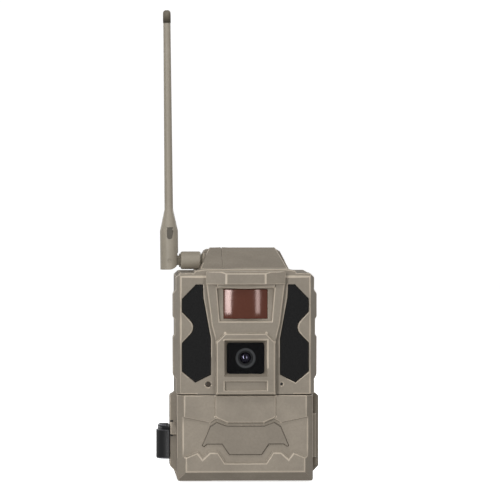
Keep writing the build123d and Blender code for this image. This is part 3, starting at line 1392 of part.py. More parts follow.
# =====================================================================
# Latch
# =====================================================================
LEVER_FRONT = SPLIT_Y - 1.0
LEVER_BACK = PIVOT_Y + 3.3

with BuildPart() as latch_lever:
    inner_x = PIVOT_X + LUG_RADIUS
    with BuildSketch(Plane.XY.offset(LEVER_Z0)):
        with BuildLine():
            Line((inner_x, PIVOT_Y), (inner_x, LEVER_FRONT))
            ThreePointArc(
                (inner_x, LEVER_FRONT),
                (inner_x - 3.8, LEVER_FRONT + 1.2),
                (LEVER_X, LEVER_FRONT + 9),
            )
            ThreePointArc(
                (LEVER_X, LEVER_FRONT + 9),
                (LEVER_X + 1.2, LEVER_FRONT + 16),
                (PIVOT_X, LEVER_BACK),
            )
            ThreePointArc((PIVOT_X, LEVER_BACK), (PIVOT_X + 2.35, PIVOT_Y + 2.35), (inner_x, PIVOT_Y))
        make_face()
    extrude(amount=LEVER_Z1 - LEVER_Z0)
    with BuildSketch(Plane.XY.offset(LEVER_Z1 - 0.5)):
        with BuildLine():
            Line((inner_x, PIVOT_Y - 3), (inner_x, LEVER_FRONT + 0.8))
            ThreePointArc(
                (inner_x, LEVER_FRONT + 0.8),
                (inner_x - 3.3, LEVER_FRONT + 2),
                (LEVER_X + 1, LEVER_FRONT + 9),
            )
            Line((LEVER_X + 1, LEVER_FRONT + 9), (LEVER_X + 2.2, PIVOT_Y - 3))
            Line((LEVER_X + 2.2, PIVOT_Y - 3), (inner_x, PIVOT_Y - 3))
        make_face()
    extrude(amount=LEVER_TOP - LEVER_Z1 + 0.5)
    chamfer(latch_lever.faces().filter_by(Axis.Z).sort_by(Axis.Z)[-1].edges(), length=0.5)
    # slot that swings past the lug
    block(
        (PIVOT_X - 3.6, inner_x + 2),
        (PIVOT_Y - 3.6, PIVOT_Y + 8),
        (LUG_Z0 - SLIDE, LUG_Z1 + SLIDE),
        mode=Mode.SUBTRACT,
    )
    rod_z(
        LATCH_PIN_DIAMETER / 2 + FIT,
        PIVOT_X,
        PIVOT_Y,
        (LEVER_Z0 + 1, LEVER_Z1 - 0.6),
        mode=Mode.SUBTRACT,
    )
save("latch_lever", latch_lever.part)

with BuildPart() as latch_pin:
    rod_z(LATCH_PIN_DIAMETER / 2, PIVOT_X, PIVOT_Y, (LEVER_Z0 + 1.2, LEVER_Z1 - 0.8))
save("latch_pin", latch_pin.part)

# =====================================================================
# Control box behind the door
# =====================================================================
KEY_X = PANEL_HALF - 12.0
KEY_Z = PANEL_Z1 - 12.0
KEY_SPREAD = KEY_DIAMETER + 1.0
KEYS = {
    "key_up": (KEY_X, KEY_Z + KEY_SPREAD),
    "key_down": (KEY_X, KEY_Z - KEY_SPREAD),
    "key_left": (KEY_X - KEY_SPREAD, KEY_Z),
    "key_right": (KEY_X + KEY_SPREAD, KEY_Z),
    "key_ok": (KEY_X, KEY_Z),
}
LCD_X = -PANEL_HALF + 3.0 + LCD_W / 2
LCD_Z = PANEL_Z1 - 3.5 - LCD_H / 2
LCD_T = 1.5
PANEL_FACE_IN = PANEL_Y + PANEL_T
KEY_BOARD_Y = PANEL_FACE_IN + LCD_T
KEY_BOARD_T = 1.2
SWITCH_X = -PANEL_HALF + 15.0
SWITCH_Z = PANEL_Z0 + 6.0
SWITCH_TRAVEL = 5.0
SD_Y1 = REAR_FRONT_Y - 0.9
SD_X1 = PANEL_HALF + 1.0
SD_Z0 = PANEL_Z0 + 4.5
SIM_X0 = -PANEL_HALF - 1.0
SIM_Z0 = PANEL_Z0 + 5.0
SIM_Y1 = REAR_FRONT_Y - 1.2

with BuildPart() as control_panel:
    block((-PANEL_HALF, PANEL_HALF), (PANEL_Y, REAR_FRONT_Y), (PANEL_Z0, PANEL_Z1))
    fillet(control_panel.edges().filter_by(Axis.Y), radius=2.5)
    fillet(control_panel.faces().sort_by(Axis.Y)[0].edges(), radius=0.6)
    block(
        (-PANEL_HALF + PANEL_T, PANEL_HALF - PANEL_T),
        (PANEL_FACE_IN, REAR_FRONT_Y + 1),
        (PANEL_Z0 + PANEL_T, PANEL_Z1 - PANEL_T),
        mode=Mode.SUBTRACT,
    )
    block(
        (LCD_X - LCD_W / 2 + 1.5, LCD_X + LCD_W / 2 - 1.5),
        (PANEL_Y - 1, PANEL_FACE_IN + 1),
        (LCD_Z - LCD_H / 2 + 1.5, LCD_Z + LCD_H / 2 - 1.5),
        mode=Mode.SUBTRACT,
    )
    for x, z in KEYS.values():
        rod_y(KEY_DIAMETER / 2 + SLIDE, x, (PANEL_Y - 1, PANEL_FACE_IN + 1), z, mode=Mode.SUBTRACT)
    block(
        (SWITCH_X - 2 - SLIDE, SWITCH_X + SWITCH_TRAVEL + 2 + SLIDE),
        (PANEL_Y - 1, PANEL_FACE_IN + 1),
        (SWITCH_Z - 1.2 - SLIDE, SWITCH_Z + 1.2 + SLIDE),
        mode=Mode.SUBTRACT,
    )
    block(
        (PANEL_HALF - PANEL_T - 1, PANEL_HALF + 1),
        (SD_Y1 - SD_T - SLIDE, SD_Y1 + SLIDE),
        (SD_Z0 - SLIDE, SD_Z0 + SD_WIDTH + SLIDE),
        mode=Mode.SUBTRACT,
    )
    block(
        (-PANEL_HALF - 1, -PANEL_HALF + PANEL_T + 1),
        (SIM_Y1 - SIM_T - SLIDE, SIM_Y1 + SLIDE),
        (SIM_Z0 - SLIDE, SIM_Z0 + SIM_WIDTH + SLIDE),
        mode=Mode.SUBTRACT,
    )
save("control_panel", control_panel.part)

with BuildPart() as lcd_screen:
    block(
        (LCD_X - LCD_W / 2, LCD_X + LCD_W / 2),
        (PANEL_FACE_IN, KEY_BOARD_Y),
        (LCD_Z - LCD_H / 2, LCD_Z + LCD_H / 2),
    )
save("lcd_screen", lcd_screen.part)

with BuildPart() as key_board:
    block(
        (-PANEL_HALF + PANEL_T + 0.4, PANEL_HALF - PANEL_T - 0.4),
        (KEY_BOARD_Y, KEY_BOARD_Y + KEY_BOARD_T),
        (PANEL_Z0 + PANEL_T + 0.4, PANEL_Z1 - PANEL_T - 0.4),
    )
    # one dome switch under each key
    for x, z in KEYS.values():
        block((x - 2.2, x + 2.2), (KEY_BOARD_Y - 0.8, KEY_BOARD_Y), (z - 2.2, z + 2.2))
save("key_board", key_board.part)

for name, (x, z) in KEYS.items():
    with BuildPart() as key:
        rod_y(KEY_DIAMETER / 2, x, (PANEL_Y - 1.3, KEY_BOARD_Y - 0.8 - KEY_TRAVEL - 0.1), z)
        fillet(key.faces().sort_by(Axis.Y)[0].edges(), radius=0.5)
    save(name, key.part)

with BuildPart() as power_switch:
    block(
        (SWITCH_X - 2.0, SWITCH_X + 2.0),
        (PANEL_Y - 1.8, KEY_BOARD_Y - SLIDE),
        (SWITCH_Z - 1.2, SWITCH_Z + 1.2),
    )
    fillet(power_switch.faces().sort_by(Axis.Y)[0].edges(), radius=0.4)
save("power_switch", power_switch.part)

with BuildPart() as card_sockets:
    block(
        (SD_X1 - SD_LENGTH - 1.6, PANEL_HALF - PANEL_T - 0.3),
        (KEY_BOARD_Y + KEY_BOARD_T, REAR_FRONT_Y),
        (SD_Z0 - 1.2, SD_Z0 + SD_WIDTH + 1.2),
    )
    block(
        (SD_X1 - SD_LENGTH - SLIDE, PANEL_HALF),
        (SD_Y1 - SD_T - SLIDE, SD_Y1 + SLIDE),
        (SD_Z0 - SLIDE, SD_Z0 + SD_WIDTH + SLIDE),
        mode=Mode.SUBTRACT,
    )
    block(
        (-PANEL_HALF + PANEL_T + 0.3, SIM_X0 + SIM_LENGTH + 1.6),
        (SIM_Y1 - SIM_T - 1.1, REAR_FRONT_Y),
        (SIM_Z0 - 1.2, SIM_Z0 + SIM_WIDTH + 1.2),
    )
    block(
        (-PANEL_HALF, SIM_X0 + SIM_LENGTH + SLIDE),
        (SIM_Y1 - SIM_T - SLIDE, SIM_Y1 + SLIDE),
        (SIM_Z0 - SLIDE, SIM_Z0 + SIM_WIDTH + SLIDE),
        mode=Mode.SUBTRACT,
    )
save("card_sockets", card_sockets.part)

with BuildPart() as sd_card:
    with BuildSketch(facing(SD_Y1)):
        Polygon(
            (SD_X1, SD_Z0),
            (SD_X1, SD_Z0 + SD_WIDTH),
            (SD_X1 - SD_LENGTH + 4, SD_Z0 + SD_WIDTH),
            (SD_X1 - SD_LENGTH, SD_Z0 + SD_WIDTH - 4),
            (SD_X1 - SD_LENGTH, SD_Z0),
            align=None,
        )
    extrude(amount=SD_T)
save("sd_card", sd_card.part)

with BuildPart() as sim_card:
    with BuildSketch(facing(SIM_Y1)):
        Polygon(
            (SIM_X0, SIM_Z0),
            (SIM_X0, SIM_Z0 + SIM_WIDTH),
            (SIM_X0 + SIM_LENGTH - 2.5, SIM_Z0 + SIM_WIDTH),
            (SIM_X0 + SIM_LENGTH, SIM_Z0 + SIM_WIDTH - 2.5),
            (SIM_X0 + SIM_LENGTH, SIM_Z0),
            align=None,
        )
    extrude(amount=SIM_T)
save("sim_card", sim_card.part)

# =====================================================================
# Battery tray
# =====================================================================
TRAY_Y = (TRAY_Y0 + TRAY_Y1) / 2
CELLS = [
    (
        (column - (CELL_COLUMNS - 1) / 2) * CELL_PITCH,
        TRAY_Y + (row - (CELL_ROWS - 1) / 2) * CELL_PITCH,
        (row + column) % 2 == 0,
    )
    for row in range(CELL_ROWS)
    for column in range(CELL_COLUMNS)
]

with BuildPart() as battery_tray:
    block((-TRAY_HALF, TRAY_HALF), (TRAY_Y0, TRAY_Y1), (0, TRAY_Z1))
    chamfer(battery_tray.faces().sort_by(Axis.Z)[0].edges(), length=0.4)
    for x, y, _ in CELLS:
        rod_z(CELL_DIAMETER / 2 + SEAT, x, y, (TRAY_FLOOR, STRIP_Z1), mode=Mode.SUBTRACT)
    # the cells are held by half-round walls, open to the front and the back
    for y0, y1 in ((TRAY_Y0 - 1, CELLS[0][1] - 1.0), (CELLS[-1][1] + 1.0, TRAY_Y1 + 1)):
        block(
            (-TRAY_HALF + TRAY_WALL, TRAY_HALF - TRAY_WALL),
            (y0, y1),
            (CELL_Z0 + 2, STRIP_Z1 - 4),
            mode=Mode.SUBTRACT,
        )
    # finger scoop in the floor
    block((-9, 9), (TRAY_Y1 - 5, TRAY_Y1 + 1), (-1, 1.2), mode=Mode.SUBTRACT)
save("battery_tray", battery_tray.part)

with BuildPart() as battery_cells:
    for x, y, upright in CELLS:
        low = CELL_Z0 if upright else CELL_Z0 + NUB_H
        rod_z(CELL_DIAMETER / 2, x, y, (low, low + CELL_LENGTH - NUB_H))
        nub = (low + CELL_LENGTH - NUB_H, CELL_Z0 + CELL_LENGTH) if upright else (CELL_Z0, low)
        rod_z(2.7, x, y, nub)
save("battery_cells", battery_cells.part)

SPRING_BASE = 4.6
SPRING_TOP = 2.8
SPRING_WIRE = 0.8

with BuildPart() as tray_contacts:
    for x, y, _ in CELLS:
        half = CELL_DIAMETER / 2 - 2.5
        for z0 in (TRAY_FLOOR, STRIP_Z1 - STRIP_T):
            block((x - half, x + half), (y - half, y + half), (z0, z0 + STRIP_T))
        # conical spring under each cell
        with Locations((x, y, TRAY_FLOOR + STRIP_T + SPRING_H / 2)):
            Cone(SPRING_BASE, SPRING_TOP, SPRING_H)
            Cone(SPRING_BASE - SPRING_WIRE, SPRING_TOP - SPRING_WIRE, SPRING_H, mode=Mode.SUBTRACT)
save("tray_contacts", tray_contacts.part)

with BuildPart() as bay_contacts:
    for s in (-1, 1):
        block(
            (s * CELLS[-1][0] - 3, s * CELLS[-1][0] + 3),
            (TRAY_Y - 4, TRAY_Y + 4),
            (TRAY_Z1 + SLIDE, BAY_Z1),
        )
    fillet(bay_contacts.edges().filter_by(Axis.X).group_by(Axis.Z)[0], radius=0.6)
save("bay_contacts", bay_contacts.part)

with BuildPart() as eject_button:
    rod_z(EJECT_HEAD_RADIUS, EJECT_X, 0, (0.3, 2.4))
    rod_z(EJECT_STEM_RADIUS, EJECT_X, 0, (2.4, 8.0))
    fillet(eject_button.faces().sort_by(Axis.Z)[0].edges(), radius=0.5)
save("eject_button", eject_button.part)

with BuildPart() as power_jack:
    rod_z(JACK_SLEEVE_RADIUS, JACK_X, JACK_Y, (JACK_POCKET + SLIDE, 9.0))
    block((JACK_X - 4.5, JACK_X + 4.5), PORT_Y, (5.0, 14.0))
    rod_z(2.2, JACK_X, JACK_Y, (JACK_POCKET - 1, 11.0), mode=Mode.SUBTRACT)
    rod_z(0.8, JACK_X, JACK_Y, (JACK_POCKET + 1.0, 11.5))
save("power_jack", power_jack.part)

with BuildPart() as port_cover:
    block(
        (JACK_X - PORT_HALF + SLIDE, JACK_X + PORT_HALF - SLIDE),
        (PORT_Y[0] + SLIDE, PORT_Y[1] - SLIDE),
        (0.1, JACK_POCKET - SLIDE),
    )
    fillet(port_cover.faces().sort_by(Axis.Y)[-1].edges().filter_by(Axis.X), radius=0.7)
save("port_cover", port_cover.part)
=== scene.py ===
"""Looks of a cellular trail camera, laid out as an add-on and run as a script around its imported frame."""

import json
import math

import bmesh
import bpy
from bpy.props import FloatProperty, FloatVectorProperty, IntProperty, PointerProperty
from bpy.types import Operator, Panel, PropertyGroup
from mathutils import Matrix, Vector
from mathutils.bvhtree import BVHTree
from mathutils.kdtree import KDTree


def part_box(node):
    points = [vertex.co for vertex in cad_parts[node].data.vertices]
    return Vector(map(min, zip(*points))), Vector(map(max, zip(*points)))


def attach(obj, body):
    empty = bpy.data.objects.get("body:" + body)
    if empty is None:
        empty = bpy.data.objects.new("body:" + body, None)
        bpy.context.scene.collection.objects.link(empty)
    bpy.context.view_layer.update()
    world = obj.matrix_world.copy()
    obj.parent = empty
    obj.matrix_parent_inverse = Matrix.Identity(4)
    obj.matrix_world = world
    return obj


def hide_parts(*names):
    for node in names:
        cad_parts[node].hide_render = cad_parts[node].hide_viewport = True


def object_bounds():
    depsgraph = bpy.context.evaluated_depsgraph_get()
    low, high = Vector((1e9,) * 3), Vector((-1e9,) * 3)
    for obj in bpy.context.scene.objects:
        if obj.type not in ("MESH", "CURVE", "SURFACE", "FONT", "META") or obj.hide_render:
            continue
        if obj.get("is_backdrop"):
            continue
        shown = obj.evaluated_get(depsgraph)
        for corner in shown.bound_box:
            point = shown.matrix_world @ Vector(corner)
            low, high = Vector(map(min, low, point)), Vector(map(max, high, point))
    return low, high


bl_info = {
    "name": "Trail Camera",
    "version": (1, 0, 0),
    "blender": (4, 5, 0),
    "location": "View3D > Sidebar > Trail Camera",
    "description": "Finishes a trail camera's moulded shells, windows, latch and antenna around its frame",
    "category": "Object",
}

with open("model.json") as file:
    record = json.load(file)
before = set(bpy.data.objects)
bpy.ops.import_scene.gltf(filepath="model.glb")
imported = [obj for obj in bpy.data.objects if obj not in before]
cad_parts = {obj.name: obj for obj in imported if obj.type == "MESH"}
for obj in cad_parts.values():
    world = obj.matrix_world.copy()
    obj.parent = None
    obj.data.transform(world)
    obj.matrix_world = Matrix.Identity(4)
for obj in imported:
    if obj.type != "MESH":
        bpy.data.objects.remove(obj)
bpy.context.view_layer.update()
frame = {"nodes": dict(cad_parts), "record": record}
MIDDLE = (Vector(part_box("back_housing")[0]) + Vector(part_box("back_housing")[1])) / 2
BODY_OF = {node: body for body, nodes in frame["record"]["behaviour"]["bodies"].items() for node in nodes}
SLOT_OF = {part["node"]: part["material_slot"] for part in frame["record"]["subparts"]}


# ---------------------------------------------------------------------
# Settings
# ---------------------------------------------------------------------
def colour(label, text, default):
    """A colour property in linear light."""
    return FloatVectorProperty(
        name=label, description=text, subtype="COLOR", size=3, min=0.0, max=1.0, default=default
    )


def length(label, text, default):
    """A length property in metres."""
    return FloatProperty(name=label, description=text, unit="LENGTH", min=0.0, precision=5, default=default)


class CameraColours(PropertyGroup):
    """Colours of the trail camera's materials."""

    housing: colour("Housing", "Moulded plastic of the housings", (0.290, 0.250, 0.199))
    door: colour("Door", "Moulded plastic of the door", (0.315, 0.271, 0.216))
    antenna: colour("Antenna", "Plastic of the whip and its sleeve", (0.350, 0.311, 0.248))
    antenna_dark: colour("Antenna joint", "Plastic of the elbow and the end cap", (0.180, 0.155, 0.115))
    window: colour("Infrared window", "Smoked plastic over the lamps", (0.004, 0.004, 0.004))
    motion: colour("Motion window", "Tinted window of the motion sensor", (0.105, 0.034, 0.021))
    black: colour("Black plastic", "Latch, control box and lens parts", (0.010, 0.010, 0.011))
    board: colour("Circuit board", "Solder mask of the boards", (0.010, 0.070, 0.030))


class CameraSizes(PropertyGroup):
    """Sizes of the finish."""

    edge: length("Edge", "Radius worn on the edges of the shells", 0.0008)
    fine_edge: length("Fine edge", "Radius on the edges of small pieces", 0.00018)
    grain: length("Grain", "Size of the sparked texture on the plastic", 0.00045)
    view_distance: length("View distance", "From the lens of the view to the camera's middle", 3.0)
    edge_steps: IntProperty(
        name="Edge steps", description="Faces across a worn edge", default=2, min=1, max=4
    )


# ---------------------------------------------------------------------
# Materials
# ---------------------------------------------------------------------
class Nodes:
    """Short calls to lay out a material's nodes."""

    def __init__(self, name):
        self.material = bpy.data.materials.new(name)
        self.material.use_nodes = True
        self.tree = self.material.node_tree
        self.shader = self.tree.nodes["Principled BSDF"]
        self.coords = self.tree.nodes.new("ShaderNodeTexCoord")

    def add(self, kind, **inputs):
        """A new node with its inputs set by value or linked from a socket."""
        node = self.tree.nodes.new(kind)
        for key, value in inputs.items():
            self.put(node, key.replace("_", " "), value)
        return node

    def put(self, node, key, value):
        """Set one input of a node, or link a socket to it."""
        socket = node.inputs[key]
        if isinstance(value, bpy.types.NodeSocket):
            self.tree.links.new(value, socket)
        else:
            socket.default_value = value

    def finish(self, **inputs):
        """Set inputs of the shader by value, or link sockets to them."""
        for key, value in inputs.items():
            self.put(self.shader, key.replace("_", " "), value)

    def noise(self, scale, detail=2.0, roughness=0.5):
        """Noise on object coordinates, as a value about one half."""
        node = self.add("ShaderNodeTexNoise", Scale=scale, Detail=detail, Roughness=roughness)
        self.put(node, "Vector", self.coords.outputs["Object"])
        return node.outputs["Fac"]

    def span(self, value, low, high, start=0.0, end=1.0):
        """Map a value between low and high to start and end."""
        node = self.add("ShaderNodeMapRange", Value=value)
        for key, number in (("From Min", low), ("From Max", high), ("To Min", start), ("To Max", end)):
            node.inputs[key].default_value = number
        return node.outputs["Result"]

    def mix(self, factor, first, second):
        """Mix two colours by a factor."""
        node = self.tree.nodes.new("ShaderNodeMix")
        node.data_type = "RGBA"
        self.put(node, 0, factor)
        for index, value in ((6, first), (7, second)):
            socket = node.inputs[index]
            if isinstance(value, bpy.types.NodeSocket):
                self.tree.links.new(value, socket)
            else:
                socket.default_value = (*value, 1.0)
        return node.outputs[2]

    def bump(self, *layers):
        """Stack bump layers, each a height, a strength and a distance in metres."""
        normal = None
        for height, strength, distance in layers:
            node = self.add("ShaderNodeBump", Height=height, Strength=strength, Distance=distance)
            if normal is not None:
                self.tree.links.new(normal, node.inputs["Normal"])
            normal = node.outputs["Normal"]
        self.tree.links.new(normal, self.shader.inputs["Normal"])


def shade(base, factor):
    """A colour made lighter or darker."""
    return tuple(min(1.0, channel * factor) for channel in base)


def moulded_plastic(name, base, grain, rough=0.52, tone=0.10, grip=0.35):
    """Matt plastic with a sparked grain, faint flow clouds and darker specks."""
    n = Nodes(name)
    clouds = n.noise(55.0, 4.0, 0.6)
    specks = n.noise(1.0 / (grain * 3.0), 3.0, 0.7)
    tint = n.mix(n.span(clouds, 0.3, 0.7), shade(base, 1.0 - tone), shade(base, 1.0 + tone))
    tint = n.mix(n.span(specks, 0.35, 0.75, 0.0, 0.35), tint, shade(base, 0.72))
    n.finish(
        Base_Color=tint, Roughness=n.span(specks, 0.3, 0.7, rough - 0.06, rough + 0.10),
        Specular_IOR_Level=0.42
    )
    n.bump((n.noise(1.0 / grain, 2.0, 0.6), grip, 0.00006), (n.noise(160.0, 2.0), 0.12, 0.0004))
    return n.material


def gloss_plastic(name, base, rough=0.08, coat=0.0, ripple=0.05, gloss=0.55, tint=(1.0, 1.0, 1.0)):
    """Polished plastic with faint moulding ripple and a little dust."""
    n = Nodes(name)
    dust = n.noise(900.0, 4.0, 0.7)
    n.finish(
        Base_Color=n.mix(n.span(dust, 0.55, 0.85, 0.0, 0.25), base, shade(base, 2.2)),
        Roughness=n.span(dust, 0.3, 0.8, rough, rough + 0.10), Specular_IOR_Level=gloss,
        Specular_Tint=(*tint, 1.0), Coat_Weight=coat, Coat_Roughness=0.03
    )
    n.bump((n.noise(45.0, 1.0), ripple, 0.0006))
    return n.material


def see_through(name, base, solid, rough=0.04, gloss=0.8, ripple=0.03):
    """Tinted clear plastic: part of the light passes straight through, the rest is shaded gloss."""
    n = Nodes(name)
    haze = n.noise(500.0, 3.0, 0.6)
    n.finish(
        Base_Color=n.mix(n.span(haze, 0.5, 0.8, 0.0, 0.3), base, shade(base, 1.8)),
        Roughness=n.span(haze, 0.3, 0.8, rough, rough + 0.05), Specular_IOR_Level=gloss
    )
    clear = n.tree.nodes.new("ShaderNodeBsdfTransparent")
    blend = n.tree.nodes.new("ShaderNodeMixShader")
    edge = n.add("ShaderNodeLayerWeight", Blend=0.25)
    n.tree.links.new(n.span(edge.outputs["Facing"], 0.0, 1.0, solid, 1.0), blend.inputs[0])
    n.tree.links.new(clear.outputs[0], blend.inputs[1])
    n.tree.links.new(n.shader.outputs[0], blend.inputs[2])
    n.tree.links.new(blend.outputs[0], n.tree.nodes["Material Output"].inputs["Surface"])
    n.bump((n.noise(40.0, 1.0), ripple, 0.0006))
    return n.material


def coated_glass(name, base, tint):
    """Lens glass with a coloured anti-glare coating."""
    n = Nodes(name)
    film = n.add("ShaderNodeLayerWeight", Blend=0.5)
    n.finish(
        Base_Color=n.mix(film.outputs["Facing"], base, shade(base, 5.0)),
        Roughness=n.span(n.noise(300.0), 0.3, 0.7, 0.05, 0.08), Specular_IOR_Level=0.9,
        Specular_Tint=(*tint, 1.0), Coat_Weight=0.6, Coat_Roughness=0.05
    )
    return n.material


def printed_ink(name, base):
    """Screen-printed ink with a slightly broken film."""
    n = Nodes(name)
    film = n.noise(1500.0, 3.0, 0.7)
    n.finish(
        Base_Color=n.mix(n.span(film, 0.55, 0.8), base, shade(base, 0.7)),
        Roughness=n.span(film, 0.3, 0.7, 0.45, 0.6)
    )
    n.bump((film, 0.15, 0.00002))
    return n.material


def soft_rubber(name, base):
    """Matt rubber with a fine skin and a patchy bloom."""
    n = Nodes(name)
    skin = n.noise(2600.0, 3.0, 0.6)
    bloom = n.noise(140.0, 3.0, 0.6)
    n.finish(
        Base_Color=n.mix(n.span(bloom, 0.4, 0.75), base, shade(base, 1.9)),
        Roughness=n.span(skin, 0.3, 0.7, 0.66, 0.84)
    )
    n.bump((skin, 0.25, 0.00005))
    return n.material


def plated_metal(name, base, rough=0.28, brush=1400.0):
    """Plated metal with fine turning marks and dull patches."""
    n = Nodes(name)
    marks = n.noise(brush, 3.0, 0.7)
    tarnish = n.noise(220.0, 3.0, 0.6)
    n.finish(
        Base_Color=n.mix(n.span(tarnish, 0.45, 0.8), base, shade(base, 0.55)), Metallic=1.0,
        Roughness=n.span(marks, 0.3, 0.7, rough - 0.08, rough + 0.14)
    )
    n.bump((marks, 0.2, 0.00003))
    return n.material


def circuit_board(name, base):
    """Solder mask over copper tracks."""
    n = Nodes(name)
    bricks = n.add("ShaderNodeTexBrick", Scale=1.0)
    n.put(bricks, "Vector", n.coords.outputs["Object"])
    for key, value in (("Brick Width", 0.006), ("Row Height", 0.0022), ("Mortar Size", 0.00028)):
        bricks.inputs[key].default_value = value
    tracks = bricks.outputs["Fac"]
    n.finish(
        Base_Color=n.mix(tracks, base, shade(base, 2.4)),
        Roughness=n.span(n.noise(700.0), 0.3, 0.7, 0.22, 0.36)
    )
    n.bump((tracks, 0.3, 0.00004))
    return n.material


PALETTE = {}


def make_palette(colours, sizes):
    """Build every material once and keep it by name."""
    housing, door, antenna = tuple(colours.housing), tuple(colours.door), tuple(colours.antenna)
    black, motion, window = tuple(colours.black), tuple(colours.motion), tuple(colours.window)
    # moulded plastics: key, name, colour, then roughness, mottling and depth of the grain
    plastics = (
        ("housing", "housing_plastic", housing),
        # the housing's edge colour is lighter: painted highlight on its rounded edges
        ("housing_edge", "housing_edge", shade(housing, 1.95), 0.42, 0.06, 0.15),
        ("door", "door_plastic", door),
        # the door's edge colour is lighter: painted highlight on its rounded edges
        ("door_edge", "door_edge", shade(door, 1.75), 0.42, 0.06, 0.15),
        ("badge", "badge_plastic", shade(door, 0.86), 0.58, 0.06),
        ("antenna", "antenna_plastic", antenna, 0.45, 0.05, 0.2),
        ("antenna_dark", "antenna_joint", tuple(colours.antenna_dark), 0.5, 0.05),
        ("black", "black_plastic", black, 0.42, 0.2, 0.25),
        # the latch's edge colour is far lighter: painted highlight on its rounded edges
        ("latch_edge", "latch_edge", shade(black, 16.0), 0.34, 0.1, 0.1),
        # the badge's edge colour is darker: painted shade of the groove round the badge
        ("badge_edge", "badge_edge", shade(door, 0.42), 0.6, 0.06, 0.1),
        # the black pieces' edge colour is lighter: painted highlight on their rounded edges
        ("black_edge", "black_edge", shade(black, 5.0), 0.30, 0.1, 0.1),
        ("notch", "notch_shade", (0.012, 0.011, 0.010), 0.6, 0.1, 0.1),
        # a third of the antenna colour: painted shade for the faces in the whip's recess
        ("recess", "whip_recess", shade(antenna, 0.33), 0.6, 0.1, 0.2),
        ("barrel", "barrel_black", (0.006, 0.006, 0.006), 0.42, 0.1, 0.1),
        # grey made lighter as painted light on the barrel's outer ring, and as a painted reflection on its
        # inner ring
        ("barrel_ring", "barrel_ring", (0.105, 0.110, 0.116), 0.35, 0.05, 0.1),
    )
    for key, name, base, *feel in plastics:
        PALETTE[key] = moulded_plastic(name, base, sizes.grain, *feel)
    PALETTE.update(
        window=see_through("smoked_window", window, 0.72, 0.42, 0.25, 0.0),
        lens_cover=see_through("clear_cover", (0.002, 0.002, 0.002), 0.12, 0.04, 0.5),
        mask=gloss_plastic("mask_ink", (0.002, 0.002, 0.003), 0.35, 0.0, 0.0, 0.1),
        glass=coated_glass("coated_glass", (0.003, 0.002, 0.005), (0.62, 0.58, 1.0)),
        motion=gloss_plastic("motion_window", motion, 0.08, 0.0, 0.015, 0.5, (1.0, 0.78, 0.74)),
        ink=printed_ink("white_ink", (0.62, 0.62, 0.60)),
        lamp_board=circuit_board("lamp_board", (0.004, 0.005, 0.005)),
        cell_end=plated_metal("cell_end", (0.60, 0.60, 0.58), 0.22),
        cell_band=gloss_plastic("cell_band", (0.16, 0.17, 0.18), 0.24, 0.2),
        lamp=gloss_plastic("lamp_resin", (0.020, 0.010, 0.020), 0.12, 0.6),
        amber=gloss_plastic("status_lamp", (0.048, 0.036, 0.024), 0.14, 0.6),
        display=gloss_plastic("display_glass", (0.060, 0.075, 0.062), 0.08, 0.8),
        jacket=gloss_plastic("cell_jacket", (0.030, 0.050, 0.095), 0.22, 0.2),
        rubber=soft_rubber("soft_rubber", (0.020, 0.020, 0.020)),
        grey_rubber=soft_rubber("key_rubber", (0.190, 0.185, 0.175)),
        steel=plated_metal("plated_steel", (0.52, 0.52, 0.50)),
        brass=plated_metal("gilt_brass", (0.62, 0.44, 0.18), 0.24),
        board=circuit_board("circuit_board", tuple(colours.board)),
    )


SLOT_MATERIAL = {
    "housing_tan": "housing", "front_tan": "housing", "door_tan": "door", "antenna_tan": "antenna",
    "antenna_dark": "antenna_dark", "smoked_window": "window", "clear_window": "lens_cover",
    "pir_window": "motion", "black_plastic": "black", "soft_rubber": "rubber", "circuit_board": "board",
    "lamp_resin": "lamp", "display_glass": "display", "steel": "steel", "brass": "brass",
    "cell_jacket": "jacket", "jack_plastic": "black", "coax": "rubber",
}


# ---------------------------------------------------------------------
# Mesh helpers
# ---------------------------------------------------------------------
SAME_CORNER = 0.000004  # corners nearer than this are one
BEFORE_FRONT = -0.1  # a place in front of the whole camera
LEVEL = 0.99995  # how alike the normals of one level patch are
SHORTEST_STEP = 0.0035  # long edges to be rounded are parted, to no less than this length
TINY_FACE = 6e-8  # a face too small to be seen turned over, in square metres
TRIES = 8  # roundings tried before a shell is left sharp


def linked(name, data):
    """A new object in the scene."""
    item = bpy.data.objects.new(name, data)
    bpy.context.scene.collection.objects.link(item)
    return item


def settle(piece, node):
    """Let a piece ride on the body of a node."""
    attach(piece, BODY_OF[node])
    return piece


def coat(mesh, materials):
    """Give a mesh its materials in order."""
    for material in materials:
        mesh.materials.append(PALETTE[material])


def new_piece(name, mesh, node, materials):
    """Link a mesh as a piece that rides on the body of a node."""
    coat(mesh, materials)
    return settle(linked(name, mesh), node)


def finished_mesh(name, bm):
    """Keep an edited mesh under a name."""
    mesh = bpy.data.meshes.new(name)
    bm.to_mesh(mesh)
    bm.free()
    return mesh


def joined(node):
    """A node's mesh to edit, with its corners joined."""
    bm = bmesh.new()
    bm.from_mesh(frame["nodes"][node].data)
    bmesh.ops.remove_doubles(bm, verts=bm.verts, dist=SAME_CORNER)
    return bm


def merged_copy(node, flat_angle=2.0):
    """A copy of a node's mesh with its corners joined and its flat faces made whole."""
    bm = joined(node)
    limit = math.radians(flat_angle)
    bmesh.ops.dissolve_limit(
        bm, angle_limit=limit, verts=bm.verts, edges=bm.edges, use_dissolve_boundaries=False
    )
    return finished_mesh(node + "_finish", bm)


def front_of(node, x, z):
    """The place on a node's front at a width and a height."""
    whole = bmesh.new()
    whole.from_mesh(frame["nodes"][node].data)
    place = BVHTree.FromBMesh(whole).ray_cast(Vector((x, BEFORE_FRONT, z)), Vector((0.0, 1.0, 0.0)))[0]
    whole.free()
    if place is None:
        raise RuntimeError("Nothing of " + node + " lies behind that place")
    return place


def apply_modifiers(piece):
    """Turn a piece's modifiers into plain mesh."""
    graph = bpy.context.evaluated_depsgraph_get()
    mesh = bpy.data.meshes.new_from_object(piece.evaluated_get(graph))
    piece.modifiers.clear()
    piece.data = mesh


